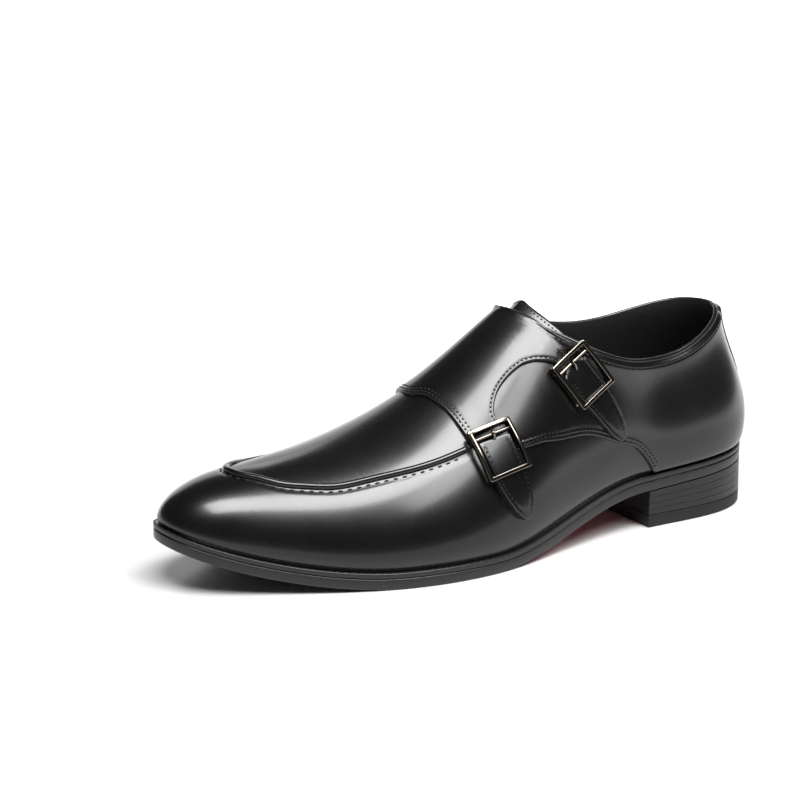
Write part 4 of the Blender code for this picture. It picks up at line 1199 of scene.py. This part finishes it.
def joinStitches():
    # every row of the upper as one piece
    points, faces, start = [], [], 0
    for rowPoints, rowFaces in stitchRows:
        points.append(rowPoints)
        faces.append(rowFaces + start)
        start += len(rowPoints)
    piece = addPiece("upperStitches", np.concatenate(points), np.concatenate(faces), (thread,))
    perStitch = stitch["corners"] * (stitch["stations"] - 1)
    print("stitches", sum(len(face) for face in faces) // perStitch)


makeHoles()
joinStitches()

# Studio, in metres and degrees: where the camera and the lights stand about the shoe, the
# floor's width, its way back and rise, and where the paper's own glow begins and is full
studio = {"bearing": 61, "lean": 14.2, "distance": 0.783, "target": (-0.0615, -0.003, 0.05),
          "lens": 72.0, "sensor": 36.0, "halfFloor": 14.0,
          "away": (-3.0, 0.0, 6.0, 12.0, 16.0, 18.5, 20.0, 20.5),
          "rise": (0.0, 0.0, 0.0, 0.0, 0.6, 2.2, 5.0, 12.0),
          "glowFrom": 0.22, "glowFull": 0.8, "glow": 1.1, "ambient": 0.06,
          "lightBearing": 75, "lightHeight": 1.25}
# two softboxes: the key box nearly overhead gives the broad highlights, and a weaker side box
# stands further out towards the heel. Ahead, beside, then size and power in watts
boxes = {"keyBox": (0.40, 0.08, (1.25, 0.55), 34), "sideBox": (0.81, 0.57, (0.75, 0.38), 8)}


def makePaper():
    # Seamless paper: pale, a little glossy, so a faint reflection lies under the sole; its glow
    # grows with distance by a smooth step, so the far floor stays white
    paper = makeMaterial("seamlessPaper", "d0d0d0", {
        "Roughness": 0.28, "Specular IOR Level": 0.5, "Emission Color": (1.0, 1.0, 1.0, 1.0)})
    tree = paper.node_tree
    spot = addNode(tree, "ShaderNodeTexCoord")
    away = addNode(tree, "ShaderNodeVectorMath", {"operation": "LENGTH"},
                   Vector=spot.outputs["Object"])
    glow = addNode(tree, "ShaderNodeMapRange", {
        "interpolation_type": "SMOOTHSTEP", "From Min": studio["glowFrom"],
        "From Max": studio["glowFull"], "To Min": 0.0, "To Max": studio["glow"]},
        Value=away.outputs["Value"])
    tree.links.new(glow.outputs["Result"],
                   tree.nodes["Principled BSDF"].inputs["Emission Strength"])
    return paper


def makeFloor():
    # a sheet facing the camera: flat, then curving up far behind, a row of two points per step
    facing = np.radians(studio["bearing"])
    back = np.array([np.sin(facing), -np.cos(facing)])
    across = np.array([np.cos(facing), np.sin(facing)])
    away, rise = np.array(studio["away"]), np.array(studio["rise"])
    wide = np.array([-1, 1]) * studio["halfFloor"]
    spots = -back[None, None] * away[:, None, None] + across[None, None] * wide[None, :, None]
    points = np.concatenate([spots, np.repeat(rise[:, None, None], 2, axis=1)], -1)
    floorMesh = bpy.data.meshes.new("studioFloor")
    floorMesh.from_pydata(points.reshape(-1, 3).tolist(), [], gridFaces(len(away), 2).tolist())
    floorMesh.shade_smooth()
    floorMesh.materials.append(makePaper())
    floor = addObject("studioFloor", floorMesh)


def aimObject(item, spot, away):
    # at the spot, its own -Z looking against the direction away
    item.matrix_world = Matrix.Translation(Vector(spot)) @ (
        Vector(away).to_track_quat("Z", "Y").to_matrix().to_4x4())


def makeCamera():
    # the photo's view: a long lens, a little from above and a little ahead of the side
    facing, lean = np.radians(studio["bearing"]), np.radians(studio["lean"])
    back = np.array([np.sin(facing) * np.cos(lean), -np.cos(facing) * np.cos(lean), np.sin(lean)])
    camera = bpy.data.cameras.new("photoCamera")
    camera.lens, camera.sensor_width = studio["lens"], studio["sensor"]
    viewer = addObject("photoCamera", camera)
    aimObject(viewer, np.array(studio["target"]) + shift + back * studio["distance"], back)
    bpy.context.scene.camera = viewer


def addSoftboxes():
    # each stands ahead and beside the shoe as seen from the lights' bearing, and faces it
    middle = np.array([0.0, 0.0, 0.05])
    bearing = np.radians(studio["lightBearing"])
    toLight = np.array([np.sin(bearing), -np.cos(bearing), 0.0])
    acrossLight = np.array([np.cos(bearing), np.sin(bearing), 0.0])
    for name, (ahead, beside, size, power) in boxes.items():
        light = bpy.data.lights.new(name, "AREA")
        light.shape = "RECTANGLE"
        light.size, light.size_y = size
        light.energy = power
        spot = ahead * toLight + beside * acrossLight + np.array([0, 0, studio["lightHeight"]])
        aimObject(addObject(name, light), spot, spot - middle)


def makeWorld():
    # a faint cool light from all round
    world = bpy.data.worlds.new("studio")
    world.use_nodes = True
    background = world.node_tree.nodes["Background"]
    background.inputs["Color"].default_value = (0.92, 0.95, 1.0, 1.0)
    background.inputs["Strength"].default_value = studio["ambient"]
    bpy.context.scene.world = world


makeFloor()
makeCamera()
addSoftboxes()
makeWorld()
bpy.context.scene.view_settings.view_transform = "Standard"
print("studio ready")
